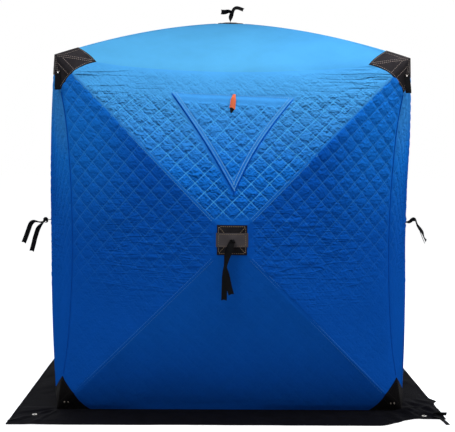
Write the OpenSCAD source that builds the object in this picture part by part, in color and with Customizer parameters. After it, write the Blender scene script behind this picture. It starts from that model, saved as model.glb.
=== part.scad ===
/* [Shelter] */
// Width and depth between the upright edges, measured at the corners
corner_w = 1800; // [1300:10:2600]
// Height of the roof corners above the ground
corner_h = 1830; // [1400:10:2200]
// How far the middle of each wall stands out past its corners
wall_bulge = 185; // [100:5:300]
// How far the middle of the roof stands above its corners
roof_rise = 290; // [150:5:400]
// Outward bow of a wall pole away from a straight line
wall_bow = 15; // [6:1:40]
// Outward bow of a roof pole away from a straight line
roof_bow = 35; // [6:1:60]
// How far an edge without a pole is drawn in at its middle
edge_draw = 60; // [20:1:100]
// Thickness of the quilted wall
wall_t = 6; // [4:0.5:12]

/* [Pole frame] */
// Diameter of a pole
pole_d = 11; // [8:0.5:16]
// Wall of the socket that holds a pole end
socket_wall = 2; // [1.5:0.5:4]
// Length of a socket on a corner piece, measured from the corner
corner_socket = 120; // [80:1:180]
// Radius of the round plate of a hub
hub_r = 44; // [36:1:60]
// Depth of the core of a hub
hub_depth = 34; // [30:1:50]
// Reach of the sockets on a hub
hub_socket = 88; // [70:1:120]

/* [Skirt] */
// Width of the skirt that lies on the ground
skirt_w = 230; // [120:5:320]
// Thickness of the skirt
skirt_t = 2; // [1:0.5:4]
// Radius of the hole in a skirt eyelet
eyelet_r = 6; // [4:0.5:9]
// Width of the metal rim round an eyelet
eyelet_rim = 6; // [4:0.5:9]
// Distance of an eyelet from both edges of the skirt corner
eyelet_in = 130; // [60:5:160]

/* [Patches and tapes] */
// Thickness of the patches, tapes and straps
patch_t = 2; // [1:0.5:4]
// Side of the square patch over a hub
hub_patch_w = 150; // [110:2:200]
// Width of the webbing band across a hub patch
hub_band_w = 160; // [120:2:210]
// Height of the webbing band across a hub patch
hub_band_h = 70; // [40:2:90]
// Reach of a roof corner patch along the roof edges
corner_reach = 205; // [120:5:260]
// Reach of a corner patch along the upright edges and along the ground
corner_drop = 168; // [110:2:240]
// Reach of a corner patch along the middle of a wall, both ways from the edges
corner_notch = 90; // [60:5:110]
// Reach of a corner patch along the middle of the roof, both ways from the edges
roof_notch = 104; // [60:2:120]
// Width of the tape sewn over a pole
sleeve_w = 22; // [16:1:50]
// Width of a strap
strap_w = 28; // [18:1:31]
// Length of the loop at a roof corner
loop_l = 98; // [50:1:140]

/* [Window] */
// Width of the window flap along its top
flap_w = 632; // [400:2:760]
// Height of the window flap from top to tip
flap_h = 486; // [300:2:560]
// Distance of the top of the flap below the roof corners
flap_top = 196; // [150:2:260]
// Thickness of the window flap
flap_t = 6; // [4:0.5:10]
// Overlap of the flap past the window opening
flap_lap = 44; // [25:1:70]
// Width of the binding along the slanted edges of the flap
bind_w = 27; // [15:1:40]
// Height of the binding over the flap
bind_t = 1.5; // [0.5:0.5:4]
// Length of the pull tab
tab_l = 88; // [50:1:120]
// Width of the pull tab
tab_w = 28; // [18:1:40]

/* [Door] */
// Distance of the door from the poles beside it
door_inset = 72; // [60:2:140]
// Radius of the door corners
door_round = 70; // [40:2:120]
// Width of the zip tape round the door
zip_w = 30; // [16:1:44]

/* [Hidden] */
a = corner_w / 2;
zh = corner_h / 2;
seat = 0.3;
skin = 0.8;
patch_skin = 1.2;
rows = 8;
cols = 10;
hub_gap = 16;
strap_hole_r = norm([strap_w / 2, patch_t]) + seat;
pole_r = pole_d / 2;
ball_r = pole_r + socket_wall + 1.2;
pole_lift = -(wall_t + ball_r + seat);
back = 180;
// Routes of the strap tails from the middle of a hub patch: x across, y up, z out, and turn of the ribbon
front_tails = [
    [[0, 0, -24, 0], [0, 0, -8, 0], [0, 0, 8, 0], [0, -3, 21, 0], [-3, -10, 31, 0], [-10, -22, 36, 0],
     [-18, -40, 37, 5], [-24, -60, 35, 15], [-27, -80, 33, 35], [-30, -103, 32, 55], [-33, -127, 31, 62],
     [-34, -150, 30, 40], [-35, -180, 29, 15], [-36, -219, 28, 5], [-37, -259, 26, 0], [-38, -297, 24, 0]],
    [[0, -4, 28, 0], [-2, -14, 39, 0], [-7, -32, 45, 0], [-14, -54, 45, 5], [-23, -78, 43, 25],
     [-29, -102, 41, 45], [-32, -127, 40, 62], [-28, -150, 38, 45], [-23, -179, 37, 20], [-16, -214, 36, 5],
     [-10, -239, 35, 0], [-2, -267, 34, 0]]
];
left_tails = [
    [[0, 0, -24, 0], [0, 0, -8, 0], [0, 0, 8, 0], [0, -1, 24, 0], [0, -4, 40, 0], [0, -11, 54, 5],
     [0, -17, 68, 8], [0, -16, 86, 14], [0, -11, 108, 30], [0, -16, 125, 55], [0, -30, 137, 76],
     [0, -53, 146, 86], [0, -81, 156, 90], [0, -114, 168, 90], [0, -146, 181, 90]],
    [[2, -8, 48, 0], [4, -22, 62, 15], [5, -38, 77, 35], [5, -60, 91, 68], [5, -89, 101, 86],
     [5, -118, 110, 90], [5, -151, 118, 90], [5, -198, 131, 90]]
];
right_tails = [
    [[0, 0, -24, 0], [0, 0, -8, 0], [0, 0, 6, 0], [0, 0, 20, 12], [0, 0, 33, 25], [0, 7, 46, 30],
     [0, 17, 55, 30], [0, 22, 65, 30], [0, 17, 74, 30], [0, 3, 80, 30], [0, -18, 88, 35], [0, -40, 104, 58],
     [0, -63, 121, 60], [0, -83, 128, 40], [0, -100, 135, 30], [0, -118, 147, 45]],
    [[-6, 15, 70, 10], [-9, 0, 79, 15], [-9, -22, 88, 22], [-9, -46, 99, 25], [-9, -75, 111, 25],
     [-9, -100, 121, 25], [-9, -130, 135, 25]]
];
roof_tails = [
    [[0, 0, -24, 0], [0, 0, -8, 0], [0, 0, 8, 0], [0, 1, 22, 30], [0, 2, 36, 60], [0, 6, 50, 60],
     [0, 11, 64, 45], [0, 17, 78, 40], [0, 25, 88, 45], [0, 36, 92, 50], [0, 48, 91, 50], [0, 60, 87, 50],
     [0, 71, 83, 50], [0, 80, 79, 50]],
    [[2, 8, 54, 40], [4, 2, 65, 35], [5, -8, 70, 30], [5, -19, 69, 45], [5, -31, 66, 60], [5, -44, 65, 70],
     [5, -58, 66, 75]]
];
// Middle of the knot of each strap, and its radius
front_knot = [0, -7, 28, 12];
left_knot = [0, -2, 44, 15];
right_knot = [-2, 17, 64, 9];
roof_knot = [1, 8, 56, 9];

// A pole is an arc of a large circle from the hub, r = 0, to the corner, r = run
function arc_chord(run, rise) = sqrt(run * run + rise * rise);
function arc_radius(run, rise, bow) = (pow(arc_chord(run, rise), 2) / 4 + bow * bow) / (2 * bow);
function arc_x(run, rise, bow) = run / 2 + rise / arc_chord(run, rise) * (bow - arc_radius(run, rise, bow));
function arc_z(run, rise, bow) = rise / 2 + run / arc_chord(run, rise) * (bow - arc_radius(run, rise, bow));
function arc_height(run, rise, bow, r) =
    arc_z(run, rise, bow) + sqrt(pow(arc_radius(run, rise, bow), 2) - pow(r - arc_x(run, rise, bow), 2));
function arc_angle(run, rise, bow, r) = acos((r - arc_x(run, rise, bow)) / arc_radius(run, rise, bow));

// Share of the way out from the hub, 0 to 1, and the draw of the cloth between two poles
function out(u, v) = max(abs(u), abs(v));
function draw(u, v) = edge_draw * (pow(out(u, v), 2) - pow(min(abs(u), abs(v)), 2));
function is_upright(u, v) = abs(v) >= abs(u);

// A point of the front wall, u across, v up, both -1 to 1, lifted out of the cloth by lift
function wall_sag(u, v) = is_upright(u, v) && v < 0 ? 0 : draw(u, v);
function wall_rise(q) = arc_height(norm([a, zh]), wall_bulge, wall_bow, q * norm([a, zh]));
function wall_point(u, v, lift) = [
    (a + lift) * u - (is_upright(u, v) ? 0 : sign(u) * wall_sag(u, v)),
    -(a + lift + wall_rise(out(u, v)) - wall_sag(u, v)),
    zh + (v > 0 ? zh + lift : zh) * v - (is_upright(u, v) ? sign(v) * wall_sag(u, v) : 0)
];

// A point of the roof, u to the right, v to the back
function roof_rise_at(q) = arc_height(norm([a, a]), roof_rise, roof_bow, q * norm([a, a]));
function roof_point(u, v, lift) = [
    (a + lift) * u - (is_upright(u, v) ? 0 : sign(u) * draw(u, v)),
    (a + lift) * v - (is_upright(u, v) ? sign(v) * draw(u, v) : 0),
    corner_h + lift + roof_rise_at(out(u, v)) - draw(u, v)
];
function face_point(face, uv, lift) =
    face == "roof" ? roof_point(uv[0], uv[1], lift) : wall_point(uv[0], uv[1], lift);

// Rings of points round the hub, and the part of them between two poles
// The four gores count round from the right: 0 right, 1 top, 2 left, 3 bottom
function ring_uv(gore, s) =
    gore == 0 ? [1, s] : gore == 1 ? [-s, 1] : gore == 2 ? [-1, -s] : [s, -1];
function row_at(q0, q1, i, n) = q0 + (q1 - q0) * i / n;
function ring_grid(q0, q1, n, m) = [
    for (i = [0:n]) [
        for (g = [0:3]) for (j = [0:m - 1]) row_at(q0, q1, i, n) * ring_uv(g, -1 + 2 * j / m)
    ]
];
function gore_grid(g, q0, q1) = [
    for (i = [0:rows]) [for (j = [0:cols]) row_at(q0, q1, i, rows) * ring_uv(g, -1 + 2 * j / cols)]
];

// A kite from a corner of a face, folded along the pole:
// reach and drop along its edges, notch along the pole, foot above the ground
function kite_grid(cu, cv, reach, drop, notch, foot, n) =
    let (c = [cu, cv * (1 - foot)],
         along = [cu * (1 - reach), cv * (1 - foot)],
         down = [cu, cv * (1 - drop)],
         p = cu * cv > 0 ? along : down,
         q = cu * cv > 0 ? down : along,
         mid = [cu * (1 - notch), cv * (1 - notch)])
    [for (i = [0:n]) [for (j = [0:n])
        c + min(i, j) / n * (mid - c) + (i > j ? (i - j) / n * (p - c) : (j - i) / n * (q - c))
    ]];

function notch_of(face) = face == "roof" ? roof_notch : corner_notch;

// A strip over the pole that runs to the corner cu, cv
function strip_grid(cu, cv, half, stops) = [
    for (q = stops) [
        for (k = [-1:1]) q * [cu, cv] + k * half / a / sqrt(2) * [-cv, cu]
    ]
];
function lifted(face, grid, lift) = [for (line = grid) [for (uv = line) face_point(face, uv, lift)]];

// A solid between two grids of points, closed round itself where wrap is true
module grid_solid(top, under, wrap = false) {
    n = len(top);
    m = len(top[0]);
    last = wrap ? m - 1 : m - 2;
    points = concat([for (line = top) each line], [for (line = under) each line]);
    t = function (i, j) i * m + j % m;
    b = function (i, j) n * m + i * m + j % m;
    faces = concat(
        [for (i = [0:n - 2]) for (j = [0:last]) each [
            [t(i, j), t(i, j + 1), t(i + 1, j + 1)],
            [t(i, j), t(i + 1, j + 1), t(i + 1, j)],
            [b(i, j), b(i + 1, j + 1), b(i, j + 1)],
            [b(i, j), b(i + 1, j), b(i + 1, j + 1)]
        ]],
        [for (j = [0:last]) each [
            [t(0, j + 1), t(0, j), b(0, j)],
            [t(0, j + 1), b(0, j), b(0, j + 1)],
            [t(n - 1, j), t(n - 1, j + 1), b(n - 1, j + 1)],
            [t(n - 1, j), b(n - 1, j + 1), b(n - 1, j)]
        ]],
        wrap ? [] : [for (i = [0:n - 2]) each [
            [t(i, 0), t(i + 1, 0), b(i + 1, 0)],
            [t(i, 0), b(i + 1, 0), b(i, 0)],
            [t(i + 1, m - 1), t(i, m - 1), b(i, m - 1)],
            [t(i + 1, m - 1), b(i, m - 1), b(i + 1, m - 1)]
        ]]
    );
    polyhedron(points, faces);
}
module ring_sheet(face, q0, q1, under, top, n, m) {
    grid = ring_grid(q0, q1, n, m);
    grid_solid(lifted(face, grid, top), lifted(face, grid, under), true);
}
module gore_sheet(face, g, under, top) {
    grid = gore_grid(g, hub_gap / a, 1);
    grid_solid(lifted(face, grid, top), lifted(face, grid, under));
}
module kite_sheet(face, cu, cv, reach, drop, foot = 0) {
    grid = kite_grid(cu, cv, reach / a, drop / a, notch_of(face) / a, foot / zh, 3);
    grid_solid(lifted(face, grid, patch_skin + patch_t), lifted(face, grid, patch_skin));
}
module tape_sheet(face, cu, cv) {
    first = (hub_patch_w / 2 + sleeve_w / 2 + 4) / a;
    final = 1 - (notch_of(face) + sleeve_w / 2 + 4) / a;
    inner = [for (i = [1:rows - 1]) row_at(hub_gap / a, 1, i, rows)];
    stops = concat([first], [for (q = inner) if (q > first + 0.02 && q < final - 0.02) q], [final]);
    grid = strip_grid(cu, cv, sleeve_w / 2, stops);
    grid_solid(lifted(face, grid, skin + patch_t / 2), lifted(face, grid, skin));
}

// The plane of the front wall: x to the right, y up, z out from the middle of the shelter
module on_wall() {
    translate([0, 0, zh]) rotate([90, 0, 0]) children();
}
module on_roof() {
    translate([0, 0, corner_h]) children();
}
module through_wall() {
    on_wall() linear_extrude(2 * a) children();
}

// A round bar that follows a pole from r0 to r1
module pole_bar(run, rise, bow, r0, r1, bar_r) {
    start = arc_angle(run, rise, bow, r1);
    sweep = arc_angle(run, rise, bow, r0) - start;
    translate([arc_x(run, rise, bow), 0, arc_z(run, rise, bow)])
        rotate([90, 0, 0])
            rotate([0, 0, start])
                rotate_extrude(angle = sweep, $fn = 1200)
                    translate([arc_radius(run, rise, bow), 0])
                        circle(r = bar_r, $fn = 24);
}
// A straight bar between the points r0 and r1 of a pole; skip is left off its start and stop off its end
module socket_bar(run, rise, bow, r0, r1, bar_r, skip, stop) {
    first = arc_height(run, rise, bow, r0);
    reach = [r1 - r0, arc_height(run, rise, bow, r1) - first];
    translate([r0, 0, first])
        rotate([0, atan2(reach[0], reach[1]), 0])
            translate([0, 0, skip])
                cylinder(h = norm(reach) - skip - stop, r = bar_r, $fn = 32);
}
// Half the size of the pole frame of a face, to the upper and to the lower corners
up_half = [a + pole_lift, zh + pole_lift];
low_half = [a + pole_lift, zh];
roof_half = [a + pole_lift, a + pole_lift];
module on_wall_pole(cu, cv) {
    half = cv > 0 ? up_half : low_half;
    on_wall() translate([0, 0, a + pole_lift]) rotate([0, 0, atan2(cv * half[1], cu * half[0])]) children();
}
module on_roof_pole(cu, cv) {
    on_roof() translate([0, 0, pole_lift]) rotate([0, 0, atan2(cv, cu)]) children();
}
function wall_run(cv) = norm(cv > 0 ? up_half : low_half);
roof_run = norm(roof_half);
pole_start = 32;
pole_past = corner_socket / 2;
module wall_pole_set() {
    for (cu = [-1, 1])
        for (cv = [-1, 1])
            on_wall_pole(cu, cv)
                pole_bar(wall_run(cv), wall_bulge, wall_bow, pole_start, wall_run(cv) - pole_past, pole_r);
}
module roof_pole_set() {
    for (cu = [-1, 1])
        for (cv = [-1, 1])
            on_roof_pole(cu, cv)
                pole_bar(roof_run, roof_rise, roof_bow, pole_start, roof_run - pole_past, pole_r);
}
// Sockets of a hub, and of a corner piece measured from its corner
socket_r = pole_r + socket_wall;
bore_r = pole_r + seat;
module wall_hub_bars(cu, cv, bar_r, skip, stop) {
    on_wall_pole(cu, cv)
        socket_bar(wall_run(cv), wall_bulge, wall_bow, hub_gap, hub_socket, bar_r, skip, stop);
}
module roof_hub_bars(cu, cv, bar_r, skip, stop) {
    on_roof_pole(cu, cv)
        socket_bar(roof_run, roof_rise, roof_bow, hub_gap, hub_socket, bar_r, skip, stop);
}
module wall_corner_bar(cu, cv, bar_r, skip, stop) {
    run = wall_run(cv);
    on_wall_pole(cu, cv) socket_bar(run, wall_bulge, wall_bow, run - corner_socket, run, bar_r, skip, stop);
}
module roof_corner_bar(cu, cv, bar_r, skip, stop) {
    on_roof_pole(cu, cv)
        socket_bar(roof_run, roof_rise, roof_bow, roof_run - corner_socket, roof_run, bar_r, skip, stop);
}
mouth = 9;
end_gap = 1;
hub_bore = pole_start - end_gap - hub_gap;
corner_bore = pole_past - end_gap;

// The round plate and core of a hub, z out, with its face at z = 0
module hub_core() {
    translate([0, 0, -6]) cylinder(h = 6, r = hub_r, $fn = 48);
    translate([0, 0, -hub_depth]) cylinder(h = hub_depth - 3, r = hub_r * 0.62, $fn = 48);
}
module hub_hole() {
    translate([0, 0, -2 * hub_depth]) cylinder(h = 3 * hub_depth, r = strap_hole_r, $fn = 32);
}
hub_out = hub_r / min(a, zh);
hub_sag = edge_draw * hub_out * hub_out + wall_t + 2 * seat;
wall_hub_face = a + wall_rise(hub_out) - hub_sag;
roof_hub_face = roof_rise_at(hub_out) - hub_sag;
module wall_hub() {
    difference() {
        union() {
            on_wall() translate([0, 0, wall_hub_face]) hub_core();
            for (cu = [-1, 1])
                for (cv = [-1, 1])
                    wall_hub_bars(cu, cv, socket_r, 0, 0);
        }
        for (cu = [-1, 1])
            for (cv = [-1, 1])
                wall_hub_bars(cu, cv, bore_r, hub_bore, -mouth);
        on_wall() translate([0, 0, wall_hub_face]) hub_hole();
    }
}

// A strap is two ribbons from one knot: x across, y up, z out of the face from the middle of the hub patch
function unit(p) = p / norm(p);
function spot(route, i) = [for (k = [0:2]) route[i][k]];
function heading(route, i) = unit(spot(route, min(i + 1, len(route) - 1)) - spot(route, max(i - 1, 0)));
function ribbon_side(route, i) =
    let (along = heading(route, i),
         flat = unit([1, 0, 0] - along[0] * along),
         turn = route[i][3])
    cos(turn) * flat + sin(turn) * cross(along, flat);
function ribbon_edge(route, i, side, face) =
    let (across = ribbon_side(route, i))
    spot(route, i) + side * strap_w / 2 * across + face * patch_t / 2 * cross(heading(route, i), across);
module ribbon(route) {
    lines = [for (face = [1, -1]) [
        for (i = [0:len(route) - 1]) [for (side = [-1, 1]) ribbon_edge(route, i, side, face)]
    ]];
    grid_solid(lines[0], lines[1]);
}
module strap(tails, knot) {
    translate(spot([knot], 0)) sphere(r = knot[3], $fn = 32);
    for (route = tails) ribbon(route);
}
module wall_strap(tails, knot) {
    on_wall() translate([0, 0, a + wall_rise(0)]) strap(tails, knot);
}

// The patch over the front right corner of the roof
module roof_corner_patch() {
    kite_sheet("wall", 1, 1, corner_reach, corner_drop);
    rotate([0, 0, 90]) kite_sheet("wall", -1, 1, corner_reach, corner_drop);
    kite_sheet("roof", 1, -1, corner_reach, corner_reach);
}
module base_corner_patch() {
    kite_sheet("wall", 1, -1, corner_drop, corner_drop, skirt_t + seat);
    rotate([0, 0, 90]) kite_sheet("wall", -1, -1, corner_drop, corner_drop, skirt_t + seat);
}
module roof_corner_bars(bar_r, skip, stop) {
    wall_corner_bar(1, 1, bar_r, skip, stop);
    rotate([0, 0, 90]) wall_corner_bar(-1, 1, bar_r, skip, stop);
    roof_corner_bar(1, -1, bar_r, skip, stop);
}
module ground_corner_bars(bar_r, skip, stop) {
    wall_corner_bar(1, -1, bar_r, skip, stop);
    rotate([0, 0, 90]) wall_corner_bar(-1, -1, bar_r, skip, stop);
}
module roof_corner_piece() {
    difference() {
        union() {
            roof_corner_bars(socket_r, 0, 0);
            translate([a + pole_lift, -a - pole_lift, corner_h + pole_lift]) sphere(r = ball_r, $fn = 32);
        }
        roof_corner_bars(bore_r, -mouth, corner_bore);
    }
}
module ground_corner_piece() {
    difference() {
        union() {
            ground_corner_bars(socket_r, 0, 0);
            translate([a + pole_lift, -a - pole_lift, 0]) sphere(r = ball_r, $fn = 32);
        }
        ground_corner_bars(bore_r, -mouth, corner_bore);
        translate([0, 0, -ball_r - 1]) cube([4 * a, 4 * a, 2 * ball_r + 2], center = true);
    }
}
// Four like pieces, one at each corner, from the front right one
module four_corners() {
    children();
    mirror([1, 0, 0]) children();
    mirror([0, 1, 0]) children();
    mirror([1, 0, 0]) mirror([0, 1, 0]) children();
}

// Outlines on the plane of a wall
flap_y = zh - flap_top;
module flap_outline(shrink) {
    offset(r = 6, $fn = 24)
        offset(delta = -6 - shrink)
            polygon([[-flap_w / 2, flap_y], [flap_w / 2, flap_y], [0, flap_y - flap_h]]);
}
// The middle of the flap between its two bound edges, open at the top
bind_in = bind_w / cos(atan2(flap_w / 2, flap_h));
module flap_middle() {
    polygon([
        [-flap_w / 2 + bind_in - flap_w / 2, flap_y + flap_h],
        [flap_w / 2 - bind_in + flap_w / 2, flap_y + flap_h],
        [0, flap_y - flap_h + bind_in * flap_h / (flap_w / 2)]
    ]);
}
door_edge = a - edge_draw - 24;
module door_outline(grow) {
    offset(r = door_round + grow, $fn = 48)
        offset(delta = -door_inset - door_round)
            polygon([[0, 0], [door_edge, door_edge * zh / a], [door_edge, -door_edge * zh / a]]);
}

module plain_wall() {
    ring_sheet("wall", hub_gap / a, 1, -wall_t, 0, rows, cols);
}
module front_wall() {
    color([0.13, 0.42, 0.76])
        difference() {
            plain_wall();
            through_wall() flap_outline(flap_lap);
        }
}
module back_wall() {
    color([0.13, 0.42, 0.76])
        rotate([0, 0, back])
            difference() {
                plain_wall();
                through_wall() door_outline(0);
            }
}
module left_wall() {
    color([0.13, 0.42, 0.76]) rotate([0, 0, -90]) plain_wall();
}
module right_wall() {
    color([0.13, 0.42, 0.76]) rotate([0, 0, 90]) plain_wall();
}
module roof() {
    color([0.13, 0.42, 0.76]) ring_sheet("roof", hub_gap / a, 1, -wall_t, 0, rows, cols);
}
module front_poles() {
    color([0.75, 0.75, 0.7]) wall_pole_set();
}
module back_poles() {
    color([0.75, 0.75, 0.7]) rotate([0, 0, back]) wall_pole_set();
}
module left_poles() {
    color([0.75, 0.75, 0.7]) rotate([0, 0, -90]) wall_pole_set();
}
module right_poles() {
    color([0.75, 0.75, 0.7]) rotate([0, 0, 90]) wall_pole_set();
}
module roof_poles() {
    color([0.75, 0.75, 0.7]) roof_pole_set();
}
module front_hub() {
    color([0.1, 0.1, 0.1]) wall_hub();
}
module back_hub() {
    color([0.1, 0.1, 0.1]) rotate([0, 0, back]) wall_hub();
}
module left_hub() {
    color([0.1, 0.1, 0.1]) rotate([0, 0, -90]) wall_hub();
}
module right_hub() {
    color([0.1, 0.1, 0.1]) rotate([0, 0, 90]) wall_hub();
}
module roof_hub() {
    color([0.1, 0.1, 0.1])
        difference() {
            union() {
                on_roof() translate([0, 0, roof_hub_face]) hub_core();
                for (cu = [-1, 1])
                    for (cv = [-1, 1])
                        roof_hub_bars(cu, cv, socket_r, 0, 0);
            }
            for (cu = [-1, 1])
                for (cv = [-1, 1])
                    roof_hub_bars(cu, cv, bore_r, hub_bore, -mouth);
            on_roof() translate([0, 0, roof_hub_face]) hub_hole();
        }
}
module roof_corner_pieces() {
    color([0.1, 0.1, 0.1]) four_corners() roof_corner_piece();
}
module ground_corner_pieces() {
    color([0.1, 0.1, 0.1]) four_corners() ground_corner_piece();
}
module pole_tapes() {
    color([0.1, 0.36, 0.68])
        for (cu = [-1, 1])
            for (cv = [-1, 1]) {
                for (turn = [0:90:270]) rotate([0, 0, turn]) tape_sheet("wall", cu, cv);
                tape_sheet("roof", cu, cv);
            }
}
module wall_hub_patch() {
    ring_sheet("wall", hub_gap / a, hub_patch_w / 2 / a, skin, skin + patch_t, 1, 4);
}
module front_hub_patch() {
    color([0.05, 0.05, 0.06]) wall_hub_patch();
}
module back_hub_patch() {
    color([0.05, 0.05, 0.06]) rotate([0, 0, back]) wall_hub_patch();
}
module left_hub_patch() {
    color([0.05, 0.05, 0.06]) rotate([0, 0, -90]) wall_hub_patch();
}
module right_hub_patch() {
    color([0.05, 0.05, 0.06]) rotate([0, 0, 90]) wall_hub_patch();
}
module roof_hub_patch() {
    color([0.05, 0.05, 0.06])
        ring_sheet("roof", hub_gap / a, hub_patch_w / 2 / a, skin, skin + patch_t, 1, 4);
}
module hub_band(face) {
    grid_under = skin + patch_t + seat;
    intersection() {
        ring_sheet(face, hub_gap / a, hub_band_w / 2 / a, grid_under, grid_under + patch_t, 1, 4);
        if (face == "roof")
            cube([2 * a, hub_band_h, 2 * corner_h + 4 * roof_rise], center = true);
        else
            translate([0, 0, zh]) cube([2 * a, 4 * a, hub_band_h], center = true);
    }
}
module hub_bands() {
    color([0.33, 0.32, 0.31]) {
        for (turn = [0:90:270]) rotate([0, 0, turn]) hub_band("wall");
        hub_band("roof");
    }
}
module front_strap() {
    color([0.05, 0.05, 0.06]) wall_strap(front_tails, front_knot);
}
module back_strap() {
    color([0.05, 0.05, 0.06]) rotate([0, 0, back]) wall_strap(front_tails, front_knot);
}
module left_strap() {
    color([0.05, 0.05, 0.06]) rotate([0, 0, -90]) wall_strap(left_tails, left_knot);
}
module right_strap() {
    color([0.05, 0.05, 0.06]) rotate([0, 0, 90]) wall_strap(right_tails, right_knot);
}
module roof_strap() {
    color([0.05, 0.05, 0.06])
        on_roof()
            translate([0, 0, roof_rise_at(0)])
                rotate([0, 0, -90]) strap(roof_tails, roof_knot);
}
module front_right_roof_patch() {
    color([0.05, 0.05, 0.06]) roof_corner_patch();
}
module front_left_roof_patch() {
    color([0.05, 0.05, 0.06]) mirror([1, 0, 0]) roof_corner_patch();
}
module back_right_roof_patch() {
    color([0.05, 0.05, 0.06]) mirror([0, 1, 0]) roof_corner_patch();
}
module back_left_roof_patch() {
    color([0.05, 0.05, 0.06]) mirror([1, 0, 0]) mirror([0, 1, 0]) roof_corner_patch();
}
module front_right_base_patch() {
    color([0.05, 0.05, 0.06]) base_corner_patch();
}
module front_left_base_patch() {
    color([0.05, 0.05, 0.06]) mirror([1, 0, 0]) base_corner_patch();
}
module back_right_base_patch() {
    color([0.05, 0.05, 0.06]) mirror([0, 1, 0]) base_corner_patch();
}
module back_left_base_patch() {
    color([0.05, 0.05, 0.06]) mirror([1, 0, 0]) mirror([0, 1, 0]) base_corner_patch();
}
// A webbing loop that hangs flat on the front wall beside its upright edge
module corner_loop() {
    translate(wall_point(0.972, 0.915, patch_skin + 2.5 * patch_t))
        translate([-strap_w / 2, -2 * patch_t, -loop_l])
            cube([strap_w, 2 * patch_t, loop_l]);
}
module corner_loops() {
    color([0.05, 0.05, 0.06]) four_corners() corner_loop();
}

// The skirt runs out over the ground from the foot of the walls
skirt_out = a + skirt_w;
skirt_foot = a + 0.8;
module eyelet_hole() {
    translate([skirt_out - eyelet_in, -skirt_out + eyelet_in, -1])
        cylinder(h = skirt_t + 2, r = eyelet_r + 1.5, $fn = 32);
}
module long_skirt() {
    difference() {
        translate([-skirt_out, -skirt_out, 0]) cube([2 * skirt_out, skirt_out - skirt_foot, skirt_t]);
        eyelet_hole();
        mirror([1, 0, 0]) eyelet_hole();
    }
}
module side_skirt() {
    translate([skirt_foot, -skirt_foot + 0.5, 0])
        cube([skirt_out - skirt_foot, 2 * skirt_foot - 1, skirt_t]);
}
module front_skirt() {
    color([0.03, 0.04, 0.06]) long_skirt();
}
module back_skirt() {
    color([0.03, 0.04, 0.06]) mirror([0, 1, 0]) long_skirt();
}
module right_skirt() {
    color([0.03, 0.04, 0.06]) side_skirt();
}
module left_skirt() {
    color([0.03, 0.04, 0.06]) mirror([1, 0, 0]) side_skirt();
}
module eyelet() {
    translate([skirt_out - eyelet_in, -skirt_out + eyelet_in, 0])
        difference() {
            union() {
                cylinder(h = skirt_t + 1.5, r = eyelet_r + 1.2, $fn = 32);
                translate([0, 0, skirt_t + 0.2]) cylinder(h = 1.3, r = eyelet_r + eyelet_rim, $fn = 32);
            }
            translate([0, 0, -1]) cylinder(h = skirt_t + 4, r = eyelet_r, $fn = 32);
        }
}
module skirt_eyelets() {
    color([0.75, 0.75, 0.74]) four_corners() eyelet();
}

// The window: a clear pane behind the opening and a padded flap over it
module window_pane() {
    color([0.75, 0.85, 0.9, 0.5])
        intersection() {
            gore_sheet("wall", 1, -wall_t - skin - 1, -wall_t - skin);
            through_wall() flap_outline(flap_lap / 2);
        }
}
module window_flap() {
    color([0.15, 0.45, 0.8])
        difference() {
            intersection() {
                gore_sheet("wall", 1, skin, skin + flap_t + bind_t);
                through_wall() flap_outline(0);
            }
            intersection() {
                gore_sheet("wall", 1, skin + flap_t, skin + flap_t + 4 * bind_t);
                through_wall() flap_middle();
            }
        }
}
tab_top = wall_point(0, 1 - flap_top / zh, 0);
tab_foot = wall_point(0, 1 - (flap_top + tab_l) / zh, 0);
tab_lean = atan2(tab_top[1] - tab_foot[1], tab_top[2] - tab_foot[2]);
module tab_outline() {
    polygon([
        [-tab_w / 2, 0], [-tab_w / 2, -tab_l + tab_w / 2], [-tab_w / 6, -tab_l],
        [tab_w / 6, -tab_l], [tab_w / 2, -tab_l + tab_w / 2], [tab_w / 2, 0]
    ]);
}
module pull_tab() {
    color([0.9, 0.4, 0.1])
        translate([0, tab_top[1], tab_top[2]])
            rotate([-tab_lean, 0, 0])
                translate([0, -skin - flap_t - 2, 0])
                    rotate([90, 0, 0])
                        linear_extrude(patch_t) tab_outline();
}
module door_panel() {
    color([0.13, 0.42, 0.76])
        rotate([0, 0, back])
            intersection() {
                gore_sheet("wall", 0, -wall_t, 0);
                through_wall() door_outline(-seat);
            }
}
module door_zip() {
    color([0.04, 0.04, 0.05])
        rotate([0, 0, back])
            intersection() {
                gore_sheet("wall", 0, skin, skin + patch_t);
                through_wall()
                    difference() {
                        door_outline(zip_w / 2);
                        door_outline(-zip_w / 2);
                    }
            }
}

front_wall();
back_wall();
left_wall();
right_wall();
roof();
front_poles();
back_poles();
left_poles();
right_poles();
roof_poles();
front_hub();
back_hub();
left_hub();
right_hub();
roof_hub();
roof_corner_pieces();
ground_corner_pieces();
pole_tapes();
front_hub_patch();
back_hub_patch();
left_hub_patch();
right_hub_patch();
roof_hub_patch();
hub_bands();
front_strap();
back_strap();
left_strap();
right_strap();
roof_strap();
front_left_roof_patch();
front_right_roof_patch();
back_left_roof_patch();
back_right_roof_patch();
front_left_base_patch();
front_right_base_patch();
back_left_base_patch();
back_right_base_patch();
corner_loops();
front_skirt();
back_skirt();
left_skirt();
right_skirt();
skirt_eyelets();
window_pane();
window_flap();
pull_tab();
door_panel();
door_zip();
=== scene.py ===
"""Looks of a pop-up ice fishing shelter: quilted walls on bowed poles, patches, straps and skirt.

Everything is in metres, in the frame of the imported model: +Z up, -Y to the front.
"""

import math

import bpy
import numpy as np
from mathutils import Matrix, Vector


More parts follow.
